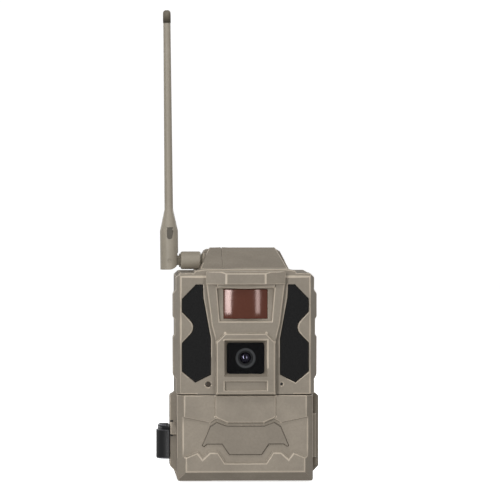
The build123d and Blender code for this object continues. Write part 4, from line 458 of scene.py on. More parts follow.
def outward(edge, angle):
    """Whether an edge is a convex one, sharper than an angle, on the outside of the camera."""
    if len(edge.link_faces) != 2 or not edge.is_convex:
        return False
    if edge.calc_face_angle(0.0) < math.radians(angle):
        return False
    first, second = edge.link_faces
    away = (edge.verts[0].co + edge.verts[1].co) / 2 - MIDDLE
    return (first.normal + second.normal).dot(away) > 0.0


def edge_weights(bm, width, angle, spared):
    """Mark the outward edges for rounding, less where a face beside them is narrow."""
    weight = bm.edges.layers.float.new("bevel_weight_edge")
    for edge in bm.edges:
        if not outward(edge, angle) or spared.intersection(vert.index for vert in edge.verts):
            continue
        depth = min(face.calc_area() for face in edge.link_faces) / max(edge.calc_length(), 1e-6)
        edge[weight] = min(1.0, 0.45 * depth / width)


def level_areas(bm):
    """The area of the level patch that each face belongs to."""
    areas = {}
    for start in bm.faces:
        if start.index in areas:
            continue
        patch, stack = {start.index}, [start]
        total = 0.0
        while stack:
            face = stack.pop()
            total += face.calc_area()
            for edge in face.edges:
                for other in edge.link_faces:
                    if other.index in patch or other.index in areas:
                        continue
                    if other.normal.dot(start.normal) > LEVEL:
                        patch.add(other.index)
                        stack.append(other)
        areas.update(dict.fromkeys(patch, total))
    return areas


def level_normals(piece):
    """Let the wide level faces of a piece rule the shading beside its rounded edges."""
    bm = bmesh.new()
    bm.from_mesh(piece.data)
    bm.faces.index_update()
    areas = level_areas(bm)
    normals = [(0.0, 0.0, 1.0)] * len(piece.data.loops)
    bm.faces.ensure_lookup_table()
    first = [polygon.loop_start for polygon in piece.data.polygons]
    for vert in bm.verts:
        # kept in order, so that every run adds up the same
        waiting = {face.index: face for face in vert.link_faces}
        while waiting:
            fan, stack = [], [waiting.popitem()[1]]
            while stack:
                face = stack.pop()
                fan.append(face)
                for edge in face.edges:
                    if vert not in edge.verts or not edge.smooth:
                        continue
                    for other in edge.link_faces:
                        if other.index in waiting:
                            stack.append(waiting.pop(other.index))
            total = Vector((0.0, 0.0, 0.0))
            for face in fan:
                total += face.normal * areas[face.index]
            total.normalize()
            for face in fan:
                spot = next(step for step, corner in enumerate(face.verts) if corner is vert)
                normals[first[face.index] + spot] = tuple(total)
    bm.free()
    piece.data.normals_split_custom_set(normals)


def misshapen(mesh, surface, width):
    """Corners of the faces that left the surface they came from, or turned over on it."""
    corners = []
    for polygon in mesh.polygons:
        points = [mesh.vertices[index].co for index in polygon.vertices]
        near = surface.find_nearest(polygon.center)
        turned_over = polygon.area > TINY_FACE and near[1].dot(polygon.normal) < -0.1
        if turned_over or any(surface.find_nearest(point)[3] > 0.9 * width for point in points):
            corners += points
    return corners


def rounded_shell(node, name, materials, width, steps=2, angle=28.0, flat_angle=2.0):
    """A node's shape with its outward edges rounded, the rounding in the last material, which on most
    shells and black pieces is a lighter colour as painted highlight and on the badge a darker one as
    painted shade.

    Corners where the rounding has no room are found and left sharp.
    """
    source = merged_copy(node, flat_angle)
    whole = bmesh.new()
    whole.from_mesh(source)
    surface = BVHTree.FromBMesh(whole)
    flat = bmesh.new()
    flat.from_mesh(source)
    flat.normal_update()
    for count in (4, 2):
        least = SHORTEST_STEP * count
        long = [edge for edge in flat.edges if outward(edge, angle) and edge.calc_length() > least]
        bmesh.ops.bisect_edges(flat, edges=long, cuts=count - 1)
    bmesh.ops.triangulate(flat, faces=[face for face in flat.faces if len(face.verts) > 4])
    flat.verts.index_update()
    places = KDTree(len(flat.verts))
    for vert in flat.verts:
        places.insert(vert.co, vert.index)
    places.balance()
    piece = linked(name, source)
    spared = set()
    for attempt in range(TRIES + 1):
        bm = flat.copy()
        bm.normal_update()
        if attempt < TRIES:
            edge_weights(bm, width, angle, spared)
        piece.data = finished_mesh(name, bm)
        coat(piece.data, materials)
        smooth(piece.data, max(angle, 22.0))
        bevel = piece.modifiers.new("edge", "BEVEL")
        bevel.width = width
        bevel.segments = steps
        bevel.limit_method = "WEIGHT"
        bevel.use_clamp_overlap = False
        bevel.loop_slide = False
        bevel.material = len(materials) - 1
        bpy.context.view_layer.update()
        apply_modifiers(piece)
        wrong = misshapen(piece.data, surface, width)
        if not wrong:
            break
        before = len(spared)
        for point in wrong:
            spared.update(index for _, index, _ in places.find_range(point, 0.4 * width))
            spared.add(places.find(point)[1])
        if len(spared) == before:
            for point in wrong:
                spared.update(index for _, index, _ in places.find_range(point, 3.0 * width))
    whole.free()
    flat.free()
    level_normals(piece)
    piece.data.name = name
    settle(piece, node)
    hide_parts(node)
    return piece


def solids(node):
    """The box of each separate solid in a node, as its lowest and highest corners."""
    bm = joined(node)
    seen, boxes = set(), []
    for start in bm.verts:
        if start.index in seen:
            continue
        seen.add(start.index)
        stack, points = [start], []
        while stack:
            vert = stack.pop()
            points.append(vert.co.copy())
            for edge in vert.link_edges:
                other = edge.other_vert(vert)
                if other.index not in seen:
                    seen.add(other.index)
                    stack.append(other)
        corners = [[pick(point[axis] for point in points) for axis in range(3)] for pick in (min, max)]
        boxes.append((Vector(corners[0]), Vector(corners[1])))
    bm.free()
    return boxes


def corners_of(node):
    """A node's lowest and highest corners as vectors."""
    low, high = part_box(node)
    return Vector(low), Vector(high)


def middle_of(node):
    """The middle of a node's box."""
    low, high = corners_of(node)
    return (low + high) / 2


def smooth(mesh, angle=32.0):
    """Shade a mesh smooth except across its sharp edges."""
    for polygon in mesh.polygons:
        polygon.use_smooth = True
    mesh.set_sharp_from_angle(angle=math.radians(angle))


def turned(name, node, profile, centre, axis, materials, segments=96):
    """A turned piece: a profile of (radius, place, material) spun about an axis through a centre."""
    bm = bmesh.new()
    side = (axis + 1) % 3, (axis + 2) % 3
    rings = []
    for radius, place, _ in profile:
        ring = []
        for step in range(segments if radius > 0 else 1):
            angle = 2.0 * math.pi * step / segments
            point = [0.0, 0.0, 0.0]
            point[axis] = place
            point[side[0]] = centre[side[0]] + radius * math.cos(angle)
            point[side[1]] = centre[side[1]] + radius * math.sin(angle)
            ring.append(bm.verts.new(point))
        rings.append(ring)
    pairs = list(zip(rings, rings[1:]))
    if profile[0][0] > 0 and profile[-1][0] > 0:
        pairs.append((rings[-1], rings[0]))
    for index, (first, second) in enumerate(pairs):
        for step in range(segments):
            after = (step + 1) % segments
            corners = [first[step % len(first)], first[after % len(first)]]
            corners += [second[after % len(second)], second[step % len(second)]]
            face = bm.faces.new(list(dict.fromkeys(corners)))
            face.material_index = profile[index][2]
    bmesh.ops.recalc_face_normals(bm, faces=bm.faces)
    mesh = finished_mesh(name, bm)
    smooth(mesh, 24.0)
    return new_piece(name, mesh, node, materials)


def prism(name, node, outline, axis, start, end, materials, edge=0.0):
    """A flat piece: an outline raised along an axis from start to end, with an optional rounded edge."""
    bm = bmesh.new()
    loops = []
    for place in (start, end):
        loop = []
        for first, second in outline:
            point = [first, second]
            point.insert(axis, place)
            loop.append(bm.verts.new(point))
        loops.append(loop)
    bm.faces.new(loops[0])
    bm.faces.new(loops[1])
    for index in range(len(outline)):
        after = (index + 1) % len(outline)
        bm.faces.new((loops[0][index], loops[0][after], loops[1][after], loops[1][index]))
    bmesh.ops.recalc_face_normals(bm, faces=bm.faces)
    piece = linked(name, finished_mesh(name, bm))
    if edge:
        bevel = piece.modifiers.new("edge", "BEVEL")
        bevel.width = edge
        bevel.segments = 3
        bevel.limit_method = "ANGLE"
        bevel.angle_limit = math.radians(40.0)
        apply_modifiers(piece)
    coat(piece.data, materials)
    smooth(piece.data)
    return settle(piece, node)


def pressed_copy(name, node, axis, start, end, materials):
    """A node's outline pressed to lie between start and end along an axis."""
    low, high = corners_of(node)
    mesh = merged_copy(node)
    for vert in mesh.vertices:
        share = (vert.co[axis] - low[axis]) / (high[axis] - low[axis])
        vert.co[axis] = start + share * (end - start)
    return new_piece(name, mesh, node, materials)


def bored(piece, centre, axis, radius, reach):
    """Cut a round hole along an axis through a piece."""
    bm = bmesh.new()
    bmesh.ops.create_cone(bm, cap_ends=True, segments=96, radius1=radius, radius2=radius, depth=reach)
    mesh = finished_mesh("bore", bm)
    cutter = linked("bore", mesh)
    turn = Vector([float(index == axis) for index in range(3)]).to_track_quat("Z", "Y")
    cutter.matrix_world = Matrix.Translation(centre) @ turn.to_matrix().to_4x4()
    cut = piece.modifiers.new("bore", "BOOLEAN")
    cut.operation = "DIFFERENCE"
    cut.solver = "EXACT"
    cut.object = cutter
    bpy.context.view_layer.update()
    apply_modifiers(piece)
    bpy.data.objects.remove(cutter)
    bpy.data.meshes.remove(mesh)
    smooth(piece.data)


# ---------------------------------------------------------------------
# Repeated shapes
# ---------------------------------------------------------------------
class Pattern:
    """A node group that puts one shape at each point of a mesh, with its sizes as named inputs."""

    def __init__(self, name, **inputs):
        self.tree = bpy.data.node_groups.new(name, "GeometryNodeTree")
        face = self.tree.interface
        face.new_socket("Points", in_out="INPUT", socket_type="NodeSocketGeometry")
        face.new_socket("Geometry", in_out="OUTPUT", socket_type="NodeSocketGeometry")
        self.sockets = {}
        inputs.update(Turn=("Rotation", None), Finish=("Material", None))
        for label, (kind, value) in inputs.items():
            socket = face.new_socket(label, in_out="INPUT", socket_type="NodeSocket" + kind)
            if value is not None:
                socket.default_value = value
            self.sockets[label] = socket.identifier
        self.given = self.tree.nodes.new("NodeGroupInput").outputs

    def add(self, kind, inputs, **settings):
        """A new node with its settings, and its inputs set by value or linked from a socket."""
        node = self.tree.nodes.new(kind)
        for key, value in settings.items():
            setattr(node, key, value)
        for key, value in inputs.items():
            if isinstance(value, bpy.types.NodeSocket):
                self.tree.links.new(value, node.inputs[key])
            else:
                node.inputs[key].default_value = value
        return node.outputs[0]

    def spread(self, shape):
        """Put the shape at each point, realize it and give it its material."""
        spots = self.add(
            "GeometryNodeInstanceOnPoints",
            {"Points": self.given["Points"], "Instance": shape, "Rotation": self.given["Turn"]},
        )
        whole = self.add("GeometryNodeRealizeInstances", {"Geometry": spots})
        done = self.add("GeometryNodeSetMaterial", {"Geometry": whole, "Material": self.given["Finish"]})
        self.tree.links.new(done, self.tree.nodes.new("NodeGroupOutput").inputs[0])
        return self


def disc_pattern():
    """Round discs and rods."""
    pattern = Pattern("repeated_discs", Radius=("Float", 0.001), Depth=("Float", 0.001), Sides=("Int", 32))
    given = pattern.given
    sizes = {"Vertices": given["Sides"], "Radius": given["Radius"], "Depth": given["Depth"]}
    return pattern.spread(pattern.add("GeometryNodeMeshCylinder", sizes))


def dome_pattern():
    """Round domes."""
    pattern = Pattern("repeated_domes", Radius=("Float", 0.001))
    sizes = {"Segments": 20, "Rings": 12, "Radius": pattern.given["Radius"]}
    return pattern.spread(pattern.add("GeometryNodeMeshUVSphere", sizes))


def bar_pattern():
    """Straight bars."""
    pattern = Pattern("repeated_bars", Size=("Vector", (0.001, 0.001, 0.001)))
    return pattern.spread(pattern.add("GeometryNodeMeshCube", {"Size": pattern.given["Size"]}))


def coil_pattern():
    """Wire coils, straight or tapered, such as springs and screw threads."""
    pattern = Pattern(
        "repeated_coils",
        Turns=("Float", 4.0),
        Foot=("Float", 0.003),
        Top=("Float", 0.002),
        Height=("Float", 0.004),
        Wire=("Float", 0.0003),
    )
    given = pattern.given
    path = pattern.add(
        "GeometryNodeCurveSpiral",
        {
            "Resolution": 28,
            "Rotations": given["Turns"],
            "Start Radius": given["Foot"],
            "End Radius": given["Top"],
            "Height": given["Height"],
        },
    )
    wire = pattern.add("GeometryNodeCurvePrimitiveCircle", {"Resolution": 8, "Radius": given["Wire"]})
    rod = pattern.add("GeometryNodeCurveToMesh", {"Curve": path, "Profile Curve": wire, "Fill Caps": True})
    return pattern.spread(rod)


PATTERNS = {}


def make_patterns():
    """Build every pattern once and keep it by name."""
    PATTERNS.update(discs=disc_pattern(), domes=dome_pattern(), bars=bar_pattern(), coils=coil_pattern())


def repeat(pattern, name, node, points, finish, **values):
    """Run a named pattern at the given points and keep the result as a plain piece."""
    mesh = bpy.data.meshes.new(name)
    mesh.from_pydata([tuple(point) for point in points], [], [])
    piece = linked(name, mesh)
    modifier = piece.modifiers.new("pattern", "NODES")
    modifier.node_group = PATTERNS[pattern].tree
    for label, value in values.items():
        modifier[PATTERNS[pattern].sockets[label]] = value
    modifier[PATTERNS[pattern].sockets["Finish"]] = PALETTE[finish]
    bpy.context.view_layer.update()
    apply_modifiers(piece)
    if not piece.data.polygons:
        raise RuntimeError("The pattern of " + name + " is empty")
    # the shapes bring an empty first slot along, ahead of their finish
    while None in piece.data.materials[:]:
        piece.data.materials.pop(index=piece.data.materials[:].index(None))
    smooth(piece.data, 35.0)
    return settle(piece, node)


ALONG_Y = (math.pi / 2, 0.0, 0.0)
ALONG_Z = (0.0, 0.0, 0.0)


class Finish:
    """Base of the operators that finish a group of pieces."""

    bl_options = {"REGISTER"}

    @property
    def sizes(self):
        return bpy.context.scene.trail_camera_sizes


# ---------------------------------------------------------------------
# Stage
# ---------------------------------------------------------------------
VIEW_AZIMUTH = -2.5
VIEW_HEIGHT = 1.5
VIEW_AIM = Vector((0.00424, 0.0, 0.14295))
VIEW_LENS = 344.3
# strip lamps: name, degrees to the right, degrees up, metres away, width and height, watts
STRIPS = (
    ("left_strip", -24.0, 4.0, 1.6, (0.24, 1.0), 14.0),
    ("right_strip", 20.6, 4.0, 1.6, (0.17, 1.0), 5.0),
    ("top_strip", -10.0, 55.0, 1.6, (0.8, 0.3), 4.0),
    ("rear_left_strip", -135.0, 20.0, 1.8, (0.3, 1.0), 9.0),
    ("rear_right_strip", 140.0, 25.0, 1.8, (0.3, 1.0), 12.0),
)


def direction(azimuth, height):
    """The direction out from the camera's front, turned to the right and raised, in degrees."""
    turn, rise = math.radians(azimuth), math.radians(height)
    return Vector((math.sin(turn) * math.cos(rise), -math.cos(turn) * math.cos(rise), math.sin(rise)))


def area_light(name, place, target, size, power):
    """A soft oblong lamp aimed at a point."""
    light = bpy.data.lights.new(name, "AREA")
    light.shape = "RECTANGLE"
    light.size, light.size_y = size
    light.energy = power
    lamp = linked(name, light)
    lamp.location = place
    lamp.rotation_euler = (target - place).to_track_quat("-Z", "Y").to_euler()


class TRAILCAM_OT_stage(Finish, Operator):
    """Set the floor, the soft lamps, the surround and the view"""

    bl_idname = "trailcam.stage"
    bl_label = "Stage"

    def execute(self, context):
        scene = context.scene
        out = direction(VIEW_AZIMUTH, VIEW_HEIGHT)
        lens = bpy.data.cameras.new("view")
        lens.lens = VIEW_LENS
        lens.sensor_width = 36.0
        lens.clip_end = 50.0
        view = linked("view", lens)
        view.location = VIEW_AIM + out * self.sizes.view_distance
        view.rotation_euler = (-out).to_track_quat("-Z", "Y").to_euler()
        scene.camera = view
        scene.view_settings.view_transform = "Standard"

        floor = bpy.data.meshes.new("floor")
        half, rear, wall, sweep = 7.0, 5.0, 6.0, 1.0
        path = [(-half, 0.0), (rear - sweep, 0.0)]
        path += [
            (rear - sweep + sweep * math.sin(a), sweep - sweep * math.cos(a))
            for a in (math.radians(90.0 * i / 12) for i in range(1, 13))
        ]
        path.append((rear, wall))
        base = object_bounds()[0][2]
        verts = [(x, y, z + base) for y, z in path for x in (-half, half)]
        faces = [(2 * i, 2 * i + 1, 2 * i + 3, 2 * i + 2) for i in range(len(path) - 1)]
        floor.from_pydata(verts, [], faces)
        for polygon in floor.polygons:
            polygon.use_smooth = True
        backdrop = linked("floor", floor)
        paper = Nodes("paper")
        paper.finish(
            Base_Color=(0.9, 0.9, 0.9, 1.0), Roughness=0.9, Emission_Color=(1.0, 1.0, 1.0, 1.0),
            Emission_Strength=0.75
        )
        paper.bump((paper.noise(60.0), 0.05, 0.001))
        floor.materials.append(paper.material)
        backdrop.visible_diffuse = False
        backdrop.visible_glossy = False
        backdrop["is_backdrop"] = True

        world = bpy.data.worlds.new("surround")
        world.use_nodes = True
        background = world.node_tree.nodes["Background"]
        background.inputs["Color"].default_value = (1.0, 1.0, 1.0, 1.0)
        background.inputs["Strength"].default_value = 0.31
        scene.world = world
        for name, azimuth, height, reach, size, power in STRIPS:
            area_light(name, VIEW_AIM + direction(azimuth, height) * reach, VIEW_AIM, size, power)
        return {"FINISHED"}


# ---------------------------------------------------------------------
# Housings, door, latch and antenna
# ---------------------------------------------------------------------
class TRAILCAM_OT_shells(Finish, Operator):
    """Round the edges of the moulded housings, the door and the bracket, the rounding painted lighter as
    highlight, the badge's darker as shade
    """

    bl_idname = "trailcam.shells"
    bl_label = "Moulded shells"

    pieces = (
        # each shell's second material colours its rounding: lighter as painted highlight, on the badge
        # darker as painted shade
        ("front_housing", ("housing", "housing_edge"), 1.0, 18.0),
        ("centre_bezel", ("housing", "housing_edge"), 1.0, 14.0),
        ("visor", ("housing", "housing_edge"), 0.8, 6.0),
        ("back_housing", ("housing", "housing_edge"), 0.6, 20.0),
        ("roof_cover", ("housing", "housing_edge"), 0.6, 20.0),
        ("rear_bracket", ("housing", "housing_edge"), 0.6, 20.0),
        ("door_shell", ("door", "door_edge"), 0.8, 18.0),
        ("door_badge", ("badge", "badge_edge"), 0.6, 20.0),
    )

    def execute(self, context):
        for node, materials, share, angle in self.pieces:
            width = self.sizes.edge * share
            rounded_shell(node, node + "_moulding", materials, width, self.sizes.edge_steps, angle)
        return {"FINISHED"}


class TRAILCAM_OT_flange(Finish, Operator):
    """Paint the shade of the two notches of the latch side's flange as dark bars"""

    bl_idname = "trailcam.flange"
    bl_label = "Flange notches"

    heights: FloatVectorProperty(
        name="Heights", description="Of the two notches", unit="LENGTH", size=2, default=(0.0365, 0.0276)
    )
    size: FloatVectorProperty(
        name="Size", description="Of one notch", unit="LENGTH", size=3, default=(0.0018, 0.0010, 0.0011)
    )
    inset: length("Inset", "From the flange's side to a notch's middle", 0.0011)

    def execute(self, context):
        side = -corners_of("back_housing")[1].x
        spots = []
        for height in self.heights:
            spot = front_of("back_housing", side + self.inset, height)
            spots.append(spot + Vector((0.0, self.size[1] / 2 - 0.00005, 0.0)))
        # dark bars in the near-black notch colour: painted shade where the notches are
        repeat("bars", "flange_notch_shade", "back_housing", spots, "notch", Size=tuple(self.size))
        return {"FINISHED"}


class TRAILCAM_OT_small(Finish, Operator):
    """Round the edges of the small hard pieces, those of the black pieces and the latch painted lighter as
    highlight
    """

    bl_idname = "trailcam.small"
    bl_label = "Small pieces"

    pieces = (
        ("antenna_sleeve", ("antenna", "antenna")),
        ("antenna_elbow", ("antenna_dark", "antenna_dark")),
        ("whip_tip", ("antenna_dark", "antenna_dark")),
        ("control_panel", ("black", "black_edge")),
        ("battery_tray", ("black", "black_edge")),
        ("ir_windows", ("window", "window")),
        ("status_lens", ("amber", "amber")),
        ("bracket_screws", ("steel", "steel")),
        ("housing_screws", ("steel", "steel")),
        ("feet", ("rubber", "rubber")),
        ("port_cover", ("rubber", "rubber")),
        ("power_switch", ("grey_rubber", "grey_rubber")),
        ("eject_button", ("black", "black_edge")),
    )

    def execute(self, context):
        for node, materials in self.pieces:
            rounded_shell(node, node + "_finish", materials, self.sizes.fine_edge, 2)
        # the latch's rounded edges take the painted highlight colour
        rounded_shell("latch_lever", "latch_finish", ("black", "latch_edge"), self.sizes.edge, 2)
        return {"FINISHED"}


class TRAILCAM_OT_antenna(Finish, Operator):
    """Finish the whip with painted shade in its recess, and collar the swivel's neck"""

    bl_idname = "trailcam.antenna"
    bl_label = "Antenna"

    # the recess in the whip's foot, its faces painted dark as shade, from the elbow's pin: its foot, its
    # top, half its width, its shift
    recess_foot, recess_top, recess_half, recess_shift = 0.0130, 0.0212, 0.0019, 0.0002
    recess_depths = (0.0001, 0.0009)
    # the washer's section: radius, and distance from its face beside the sleeve
    washer = (
        (0.0031, 0.0), (0.0041, 0.0), (0.0043, 0.0002), (0.0043, 0.0005), (0.0041, 0.0007), (0.0031, 0.0007)
    )
    washer_gap = 0.00012

    def execute(self, context):
        whip = rounded_shell("antenna_whip", "whip_moulding", ("antenna", "antenna"), self.sizes.fine_edge, 2)
        whip.data.materials.append(PALETTE["recess"])
        front = corners_of("antenna_whip")[0].y
        pin = middle_of("elbow_pin")
        for polygon in whip.data.polygons:
            x, y, z = polygon.center
            sunk = front + self.recess_depths[0] < y < front + self.recess_depths[1]
            across = abs(x - pin.x - self.recess_shift) < self.recess_half
            if sunk and across and pin.z + self.recess_foot < z < pin.z + self.recess_top:
                # these faces take the darker colour: painted shade in the recess
                polygon.material_index = 2
        centre = (0.0, middle_of("antenna_elbow").y, pin.z)
        place = corners_of("antenna_sleeve")[0].x - self.washer_gap
        ring = [(radius, place - back, 0) for radius, back in self.washer]
        turned("neck_washer", "antenna_elbow", ring, centre, 0, ("antenna_dark",))
        return {"FINISHED"}


class TRAILCAM_OT_lens(Finish, Operator):
    """Build the lens's cover, its mask, the stepped barrel and the coated glass"""

    bl_idname = "trailcam.lens"
    bl_label = "Lens"

    mask_hole: length("Mask hole", "Radius of the hole in the mask", 0.0064)
    bow: length("Bow", "Rise of the glass from its rim to its middle", 0.0011)
    bore, barrel = 0.00345, 0.0070
    # the barrel's face: radius, place behind its front, and 0 for black or 1 for a grey ring painted
    # lighter to stand in for light on it, the inner one a painted reflection
    steps = (
        (0.0068, 0.0, 0), (0.0062, 0.0, 1), (0.0047, 0.0, 0), (0.0045, 0.0002, 0), (0.0045, 0.0008, 0),
        (0.0041, 0.0008, 1), (0.0039, 0.0012, 0), (0.0037, 0.0012, 0),
    )

    def execute(self, context):
        low, high = corners_of("lens_window")
        cover = pressed_copy("lens_cover", "lens_window", 1, low.y, low.y + 0.0006, ("lens_cover",))
        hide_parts("lens_window")
        mask = pressed_copy("lens_mask", "lens_window", 1, low.y + 0.00064, high.y, ("mask",))
        near, far = corners_of("lens_barrel")
        centre = (near + far) / 2
        bored(mask, Vector((centre.x, (low.y + high.y) / 2, centre.z)), 1, self.mask_hole, 0.01)

        rim = [(self.bore, far.y, 0), (self.barrel, far.y, 0), (self.barrel, near.y + 0.0002, 0)]
        rim += [(radius, near.y + sunk, material) for radius, sunk, material in self.steps]
        rim.append((self.bore, near.y + 0.0016, 0))
        barrel = turned("stepped_barrel", "lens_barrel", rim, centre, 1, ("barrel", "barrel_ring"))
        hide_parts("lens_barrel")

        near, far = corners_of("lens_glass")
        radius = (far.x - near.x) / 2
        dome = [(radius * step / 16, near.y + self.bow * (step / 16) ** 2, 0) for step in range(17)]
        dome += [(radius, far.y, 0), (0.0, far.y, 0)]
        glass = turned("coated_glass", "lens_glass", dome, (near + far) / 2, 1, ("glass",))
        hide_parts("lens_glass")
        return {"FINISHED"}


class TRAILCAM_OT_motion(Finish, Operator):
    """Build the bowed motion window"""

    bl_idname = "trailcam.motion"
    bl_label = "Motion window"

    steps: IntProperty(name="Steps", description="Faces across the bow", default=48, min=8, max=96)
    bow: length("Bow", "Depth of the window's curve", 0.0020)

    def execute(self, context):
        low, high = corners_of("pir_window")
        half, middle = (high.x - low.x) / 2, (high.x + low.x) / 2
        outline = []
        for step in range(self.steps + 1):
            across = -half + 2 * half * step / self.steps
            outline.append((middle + across, low.y + self.bow * (across / half) ** 2))
        outline += [(middle + half, high.y), (middle - half, high.y)]
        piece = prism("bowed_window", "pir_window", outline, 2, low.z, high.z, ("motion",), 0.0003)
        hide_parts("pir_window")
        return {"FINISHED"}


class TRAILCAM_OT_lamps(Finish, Operator):
    """Set the infrared lamps on their boards"""

    bl_idname = "trailcam.lamps"
    bl_label = "Infrared lamps"

    def execute(self, context):
        boxes = solids("ir_leds")
        low, high = boxes[0]
        radius, depth = (high.x - low.x) / 2, high.y - low.y
        middles = [(start + end) / 2 for start, end in boxes]
        flange = [Vector((spot.x, high.y - 0.0005, spot.z)) for spot in middles]
        dome = [Vector((spot.x, low.y + radius * 0.86, spot.z)) for spot in middles]
        die = [Vector((spot.x, high.y - 0.0011, spot.z)) for spot in middles]
        rim = {"Radius": radius, "Depth": 0.001, "Turn": ALONG_Y}
        base = repeat("discs", "lamp_flanges", "ir_leds", flange, "lamp", **rim)
        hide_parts("ir_leds")
        repeat("domes", "lamp_domes", "ir_leds", dome, "lamp", Radius=radius * 0.86)
        cup = {"Radius": radius * 0.9, "Depth": depth * 0.1, "Turn": ALONG_Y}
        repeat("discs", "lamp_cups", "ir_leds", die, "cell_end", **cup)
        return {"FINISHED"}


class TRAILCAM_OT_cells(Finish, Operator):
    """Fill the tray with cells, contact plates and coil springs"""

    bl_idname = "trailcam.cells"
    bl_label = "Cells and springs"

    def execute(self, context):
        boxes = solids("battery_cells")
        low, high = boxes[0]
        radius, middles = (high.x - low.x) / 2, [(start + end) / 2 for start, end in boxes]
        layers = (
            ("cell_cans", "cell_end", 0.95, 0.0002, 0.0016),
            ("cell_jackets", "jacket", 1.0, 0.0007, 0.0130),
            ("cell_bands", "cell_band", 0.998, 0.0372, 0.0023),
            ("cell_nubs", "cell_end", 0.38, 0.0480, 0.0),
        )
        for name, finish, share, foot, top in layers:
            start, end = low.z + foot, high.z - top
            spots = [Vector((spot.x, spot.y, (start + end) / 2)) for spot in middles]
            values = {"Radius": radius * share, "Depth": end - start, "Sides": 48}
            piece = repeat("discs", name, "battery_cells", spots, finish, **values)
            if name == "cell_cans":
                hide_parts("battery_cells")

        contacts = solids("tray_contacts")
        springs = [(start, end) for start, end in contacts if end.z - start.z > 0.002]
        plates = [(start, end) for start, end in contacts if end.z - start.z <= 0.002]
        start, end = springs[0]
        thick = plates[0][1].z - plates[0][0].z
        size = (end.x - start.x, end.y - start.y, thick)
        spots = [Vector(((a.x + b.x) / 2, (a.y + b.y) / 2, a.z + thick / 2)) for a, b in contacts]
        flats = repeat("bars", "contact_plates", "tray_contacts", spots, "steel", Size=size)
        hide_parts("tray_contacts")
        feet = [Vector(((a.x + b.x) / 2, (a.y + b.y) / 2, a.z + thick + 0.0003)) for a, b in springs]
        height = end.z - start.z - thick - 0.0006
        coil = {"Turns": 3.5, "Foot": 0.0042, "Top": 0.0024, "Height": height, "Wire": 0.0003}
        repeat("coils", "contact_springs", "tray_contacts", feet, "steel", **coil)
        return {"FINISHED"}


class TRAILCAM_OT_microphone(Finish, Operator):
    """Close the microphone's port with a disc of dark gauze, its near-black also painted shade of the
    port's hollow
    """

    bl_idname = "trailcam.microphone"
    bl_label = "Microphone port"

    radius: length("Radius", "Of the gauze", 0.00085)
    sunk: length("Sunk", "From the housing's face to the middle of the gauze", 0.0003)

    def execute(self, context):
        spot = middle_of("microphone")
        face = front_of("front_housing", spot.x, spot.z + 1.6 * self.radius)
        centre = Vector((spot.x, face.y + self.sunk, spot.z))
        values = {"Radius": self.radius, "Depth": 0.0007, "Turn": ALONG_Y}
        # the gauze takes the near-black notch colour, which also stands in as painted shade inside the port
        repeat("discs", "port_gauze", "microphone", [centre], "notch", **values)
        return {"FINISHED"}


class TRAILCAM_OT_sockets(Finish, Operator):
    """Wind the threads of the two tripod sockets"""

    bl_idname = "trailcam.sockets"
    bl_label = "Tripod sockets"

    bore: length("Bore", "Radius of the tapped hole", 0.00252)
    pitch: length("Pitch", "Rise of the thread in one turn", 0.00127)

    def execute(self, context):
        for name, (low, high) in zip(("rear", "underside"), solids("threaded_inserts")):
            along = 1 if high.y > 0.02 else 2
            depth = (high[along] - low[along]) * 0.9
            foot = (low + high) / 2
            foot[along] = low[along] + 0.0003
            turn = (-math.pi / 2, 0.0, 0.0) if along == 1 else ALONG_Z
            coil = {"Turns": depth / self.pitch, "Foot": self.bore, "Top": self.bore, "Height": depth}
            coil.update(Wire=0.00026, Turn=turn)
            repeat("coils", name + "_thread", "threaded_inserts", [foot], "brass", **coil)
        return {"FINISHED"}


def ink_ring(name, node, centre, face, proud, radii, segments):
    """A printed ring that stands a little proud of a face and is keyed into it."""
    inner, outer = radii
    ring = [(inner, face - proud, 0), (outer, face - proud, 0)]
    ring += [(outer, face + 0.0004, 0), (inner, face + 0.0004, 0)]
    turned(name, node, ring, centre, 1, ("ink",), segments)


class TRAILCAM_OT_controls(Finish, Operator):
    """Mark the keys and the switch"""

    bl_idname = "trailcam.controls"
    bl_label = "Controls"

    def execute(self, context):
        turns = {"key_up": 90.0, "key_down": -90.0, "key_left": 180.0, "key_right": 0.0}
        for node, turn in turns.items():
            low, high = corners_of(node)
            middle, angle = (low + high) / 2, math.radians(turn)
            outline = []
            for corner in (0.0, 120.0, 240.0):
                aim = angle + math.radians(corner)
                outline.append((middle.x + 0.0015 * math.cos(aim), middle.z + 0.0015 * math.sin(aim)))
            prism(node + "_arrow", node, outline, 1, low.y - 0.00012, low.y + 0.0004, ("ink",))
        ok_front = corners_of("key_ok")[0].y
        ink_ring("key_ok_ring", "key_ok", middle_of("key_ok"), ok_front, 0.00012, (0.0010, 0.0014), 48)

        face = corners_of("control_panel")[0].y
        low, high = corners_of("power_switch")
        mark = high.z + 0.0034
        ink_ring("off_mark", "control_panel", (low.x, 0.0, mark), face, 0.00006, (0.0008, 0.0011), 40)
        stroke = Vector((high.x + 0.005, face + 0.00016, mark))
        repeat("bars", "on_mark", "control_panel", [stroke], "ink", Size=(0.0004, 0.00046, 0.0022))
        return {"FINISHED"}


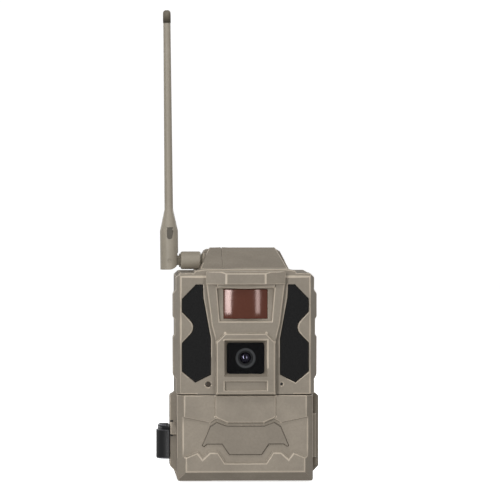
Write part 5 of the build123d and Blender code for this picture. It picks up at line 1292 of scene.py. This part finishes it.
class TRAILCAM_OT_finishes(Finish, Operator):
    """Give every carried-over piece its material"""

    bl_idname = "trailcam.finishes"
    bl_label = "Other finishes"

    special = {
        "status_lens": "amber", "led_boards": "lamp_board", "antenna_connector": "antenna_dark",
        "elbow_pin": "antenna", "key_up": "grey_rubber", "key_down": "grey_rubber",
        "key_left": "grey_rubber", "key_right": "grey_rubber", "key_ok": "grey_rubber",
    }

    def execute(self, context):
        for node, obj in frame["nodes"].items():
            material = PALETTE[self.special.get(node, SLOT_MATERIAL[SLOT_OF[node]])]
            obj.data.materials.clear()
            obj.data.materials.append(material)
        return {"FINISHED"}


# ---------------------------------------------------------------------
# Panel, registration and run
# ---------------------------------------------------------------------
OPERATORS = (
    TRAILCAM_OT_stage, TRAILCAM_OT_finishes, TRAILCAM_OT_shells, TRAILCAM_OT_flange, TRAILCAM_OT_small,
    TRAILCAM_OT_antenna, TRAILCAM_OT_lens, TRAILCAM_OT_motion, TRAILCAM_OT_lamps, TRAILCAM_OT_cells,
    TRAILCAM_OT_sockets, TRAILCAM_OT_controls, TRAILCAM_OT_microphone,
)


class TRAILCAM_PT_panel(Panel):
    """Sizes, colours and operators of the trail camera"""

    bl_label = "Trail Camera"
    bl_idname = "TRAILCAM_PT_panel"
    bl_space_type = "VIEW_3D"
    bl_region_type = "UI"
    bl_category = "Trail Camera"

    def draw(self, context):
        for group in (context.scene.trail_camera_sizes, context.scene.trail_camera_colours):
            box = self.layout.box()
            for key in group.__annotations__:
                box.prop(group, key)
        for operator in OPERATORS:
            self.layout.operator(operator.bl_idname)


CLASSES = (CameraColours, CameraSizes, *OPERATORS, TRAILCAM_PT_panel)


def register():
    """Register the classes and the scene's settings."""
    for cls in CLASSES:
        bpy.utils.register_class(cls)
    bpy.types.Scene.trail_camera_sizes = PointerProperty(type=CameraSizes)
    bpy.types.Scene.trail_camera_colours = PointerProperty(type=CameraColours)


def unregister():
    """Remove the scene's settings and the classes."""
    del bpy.types.Scene.trail_camera_colours
    del bpy.types.Scene.trail_camera_sizes
    for cls in reversed(CLASSES):
        bpy.utils.unregister_class(cls)


def main():
    """Run the operators in order."""
    register()
    scene = bpy.context.scene
    make_patterns()
    make_palette(scene.trail_camera_colours, scene.trail_camera_sizes)
    for operator in OPERATORS:
        group, name = operator.bl_idname.split(".")
        getattr(getattr(bpy.ops, group), name)()


if __name__ == "__main__":
    main()
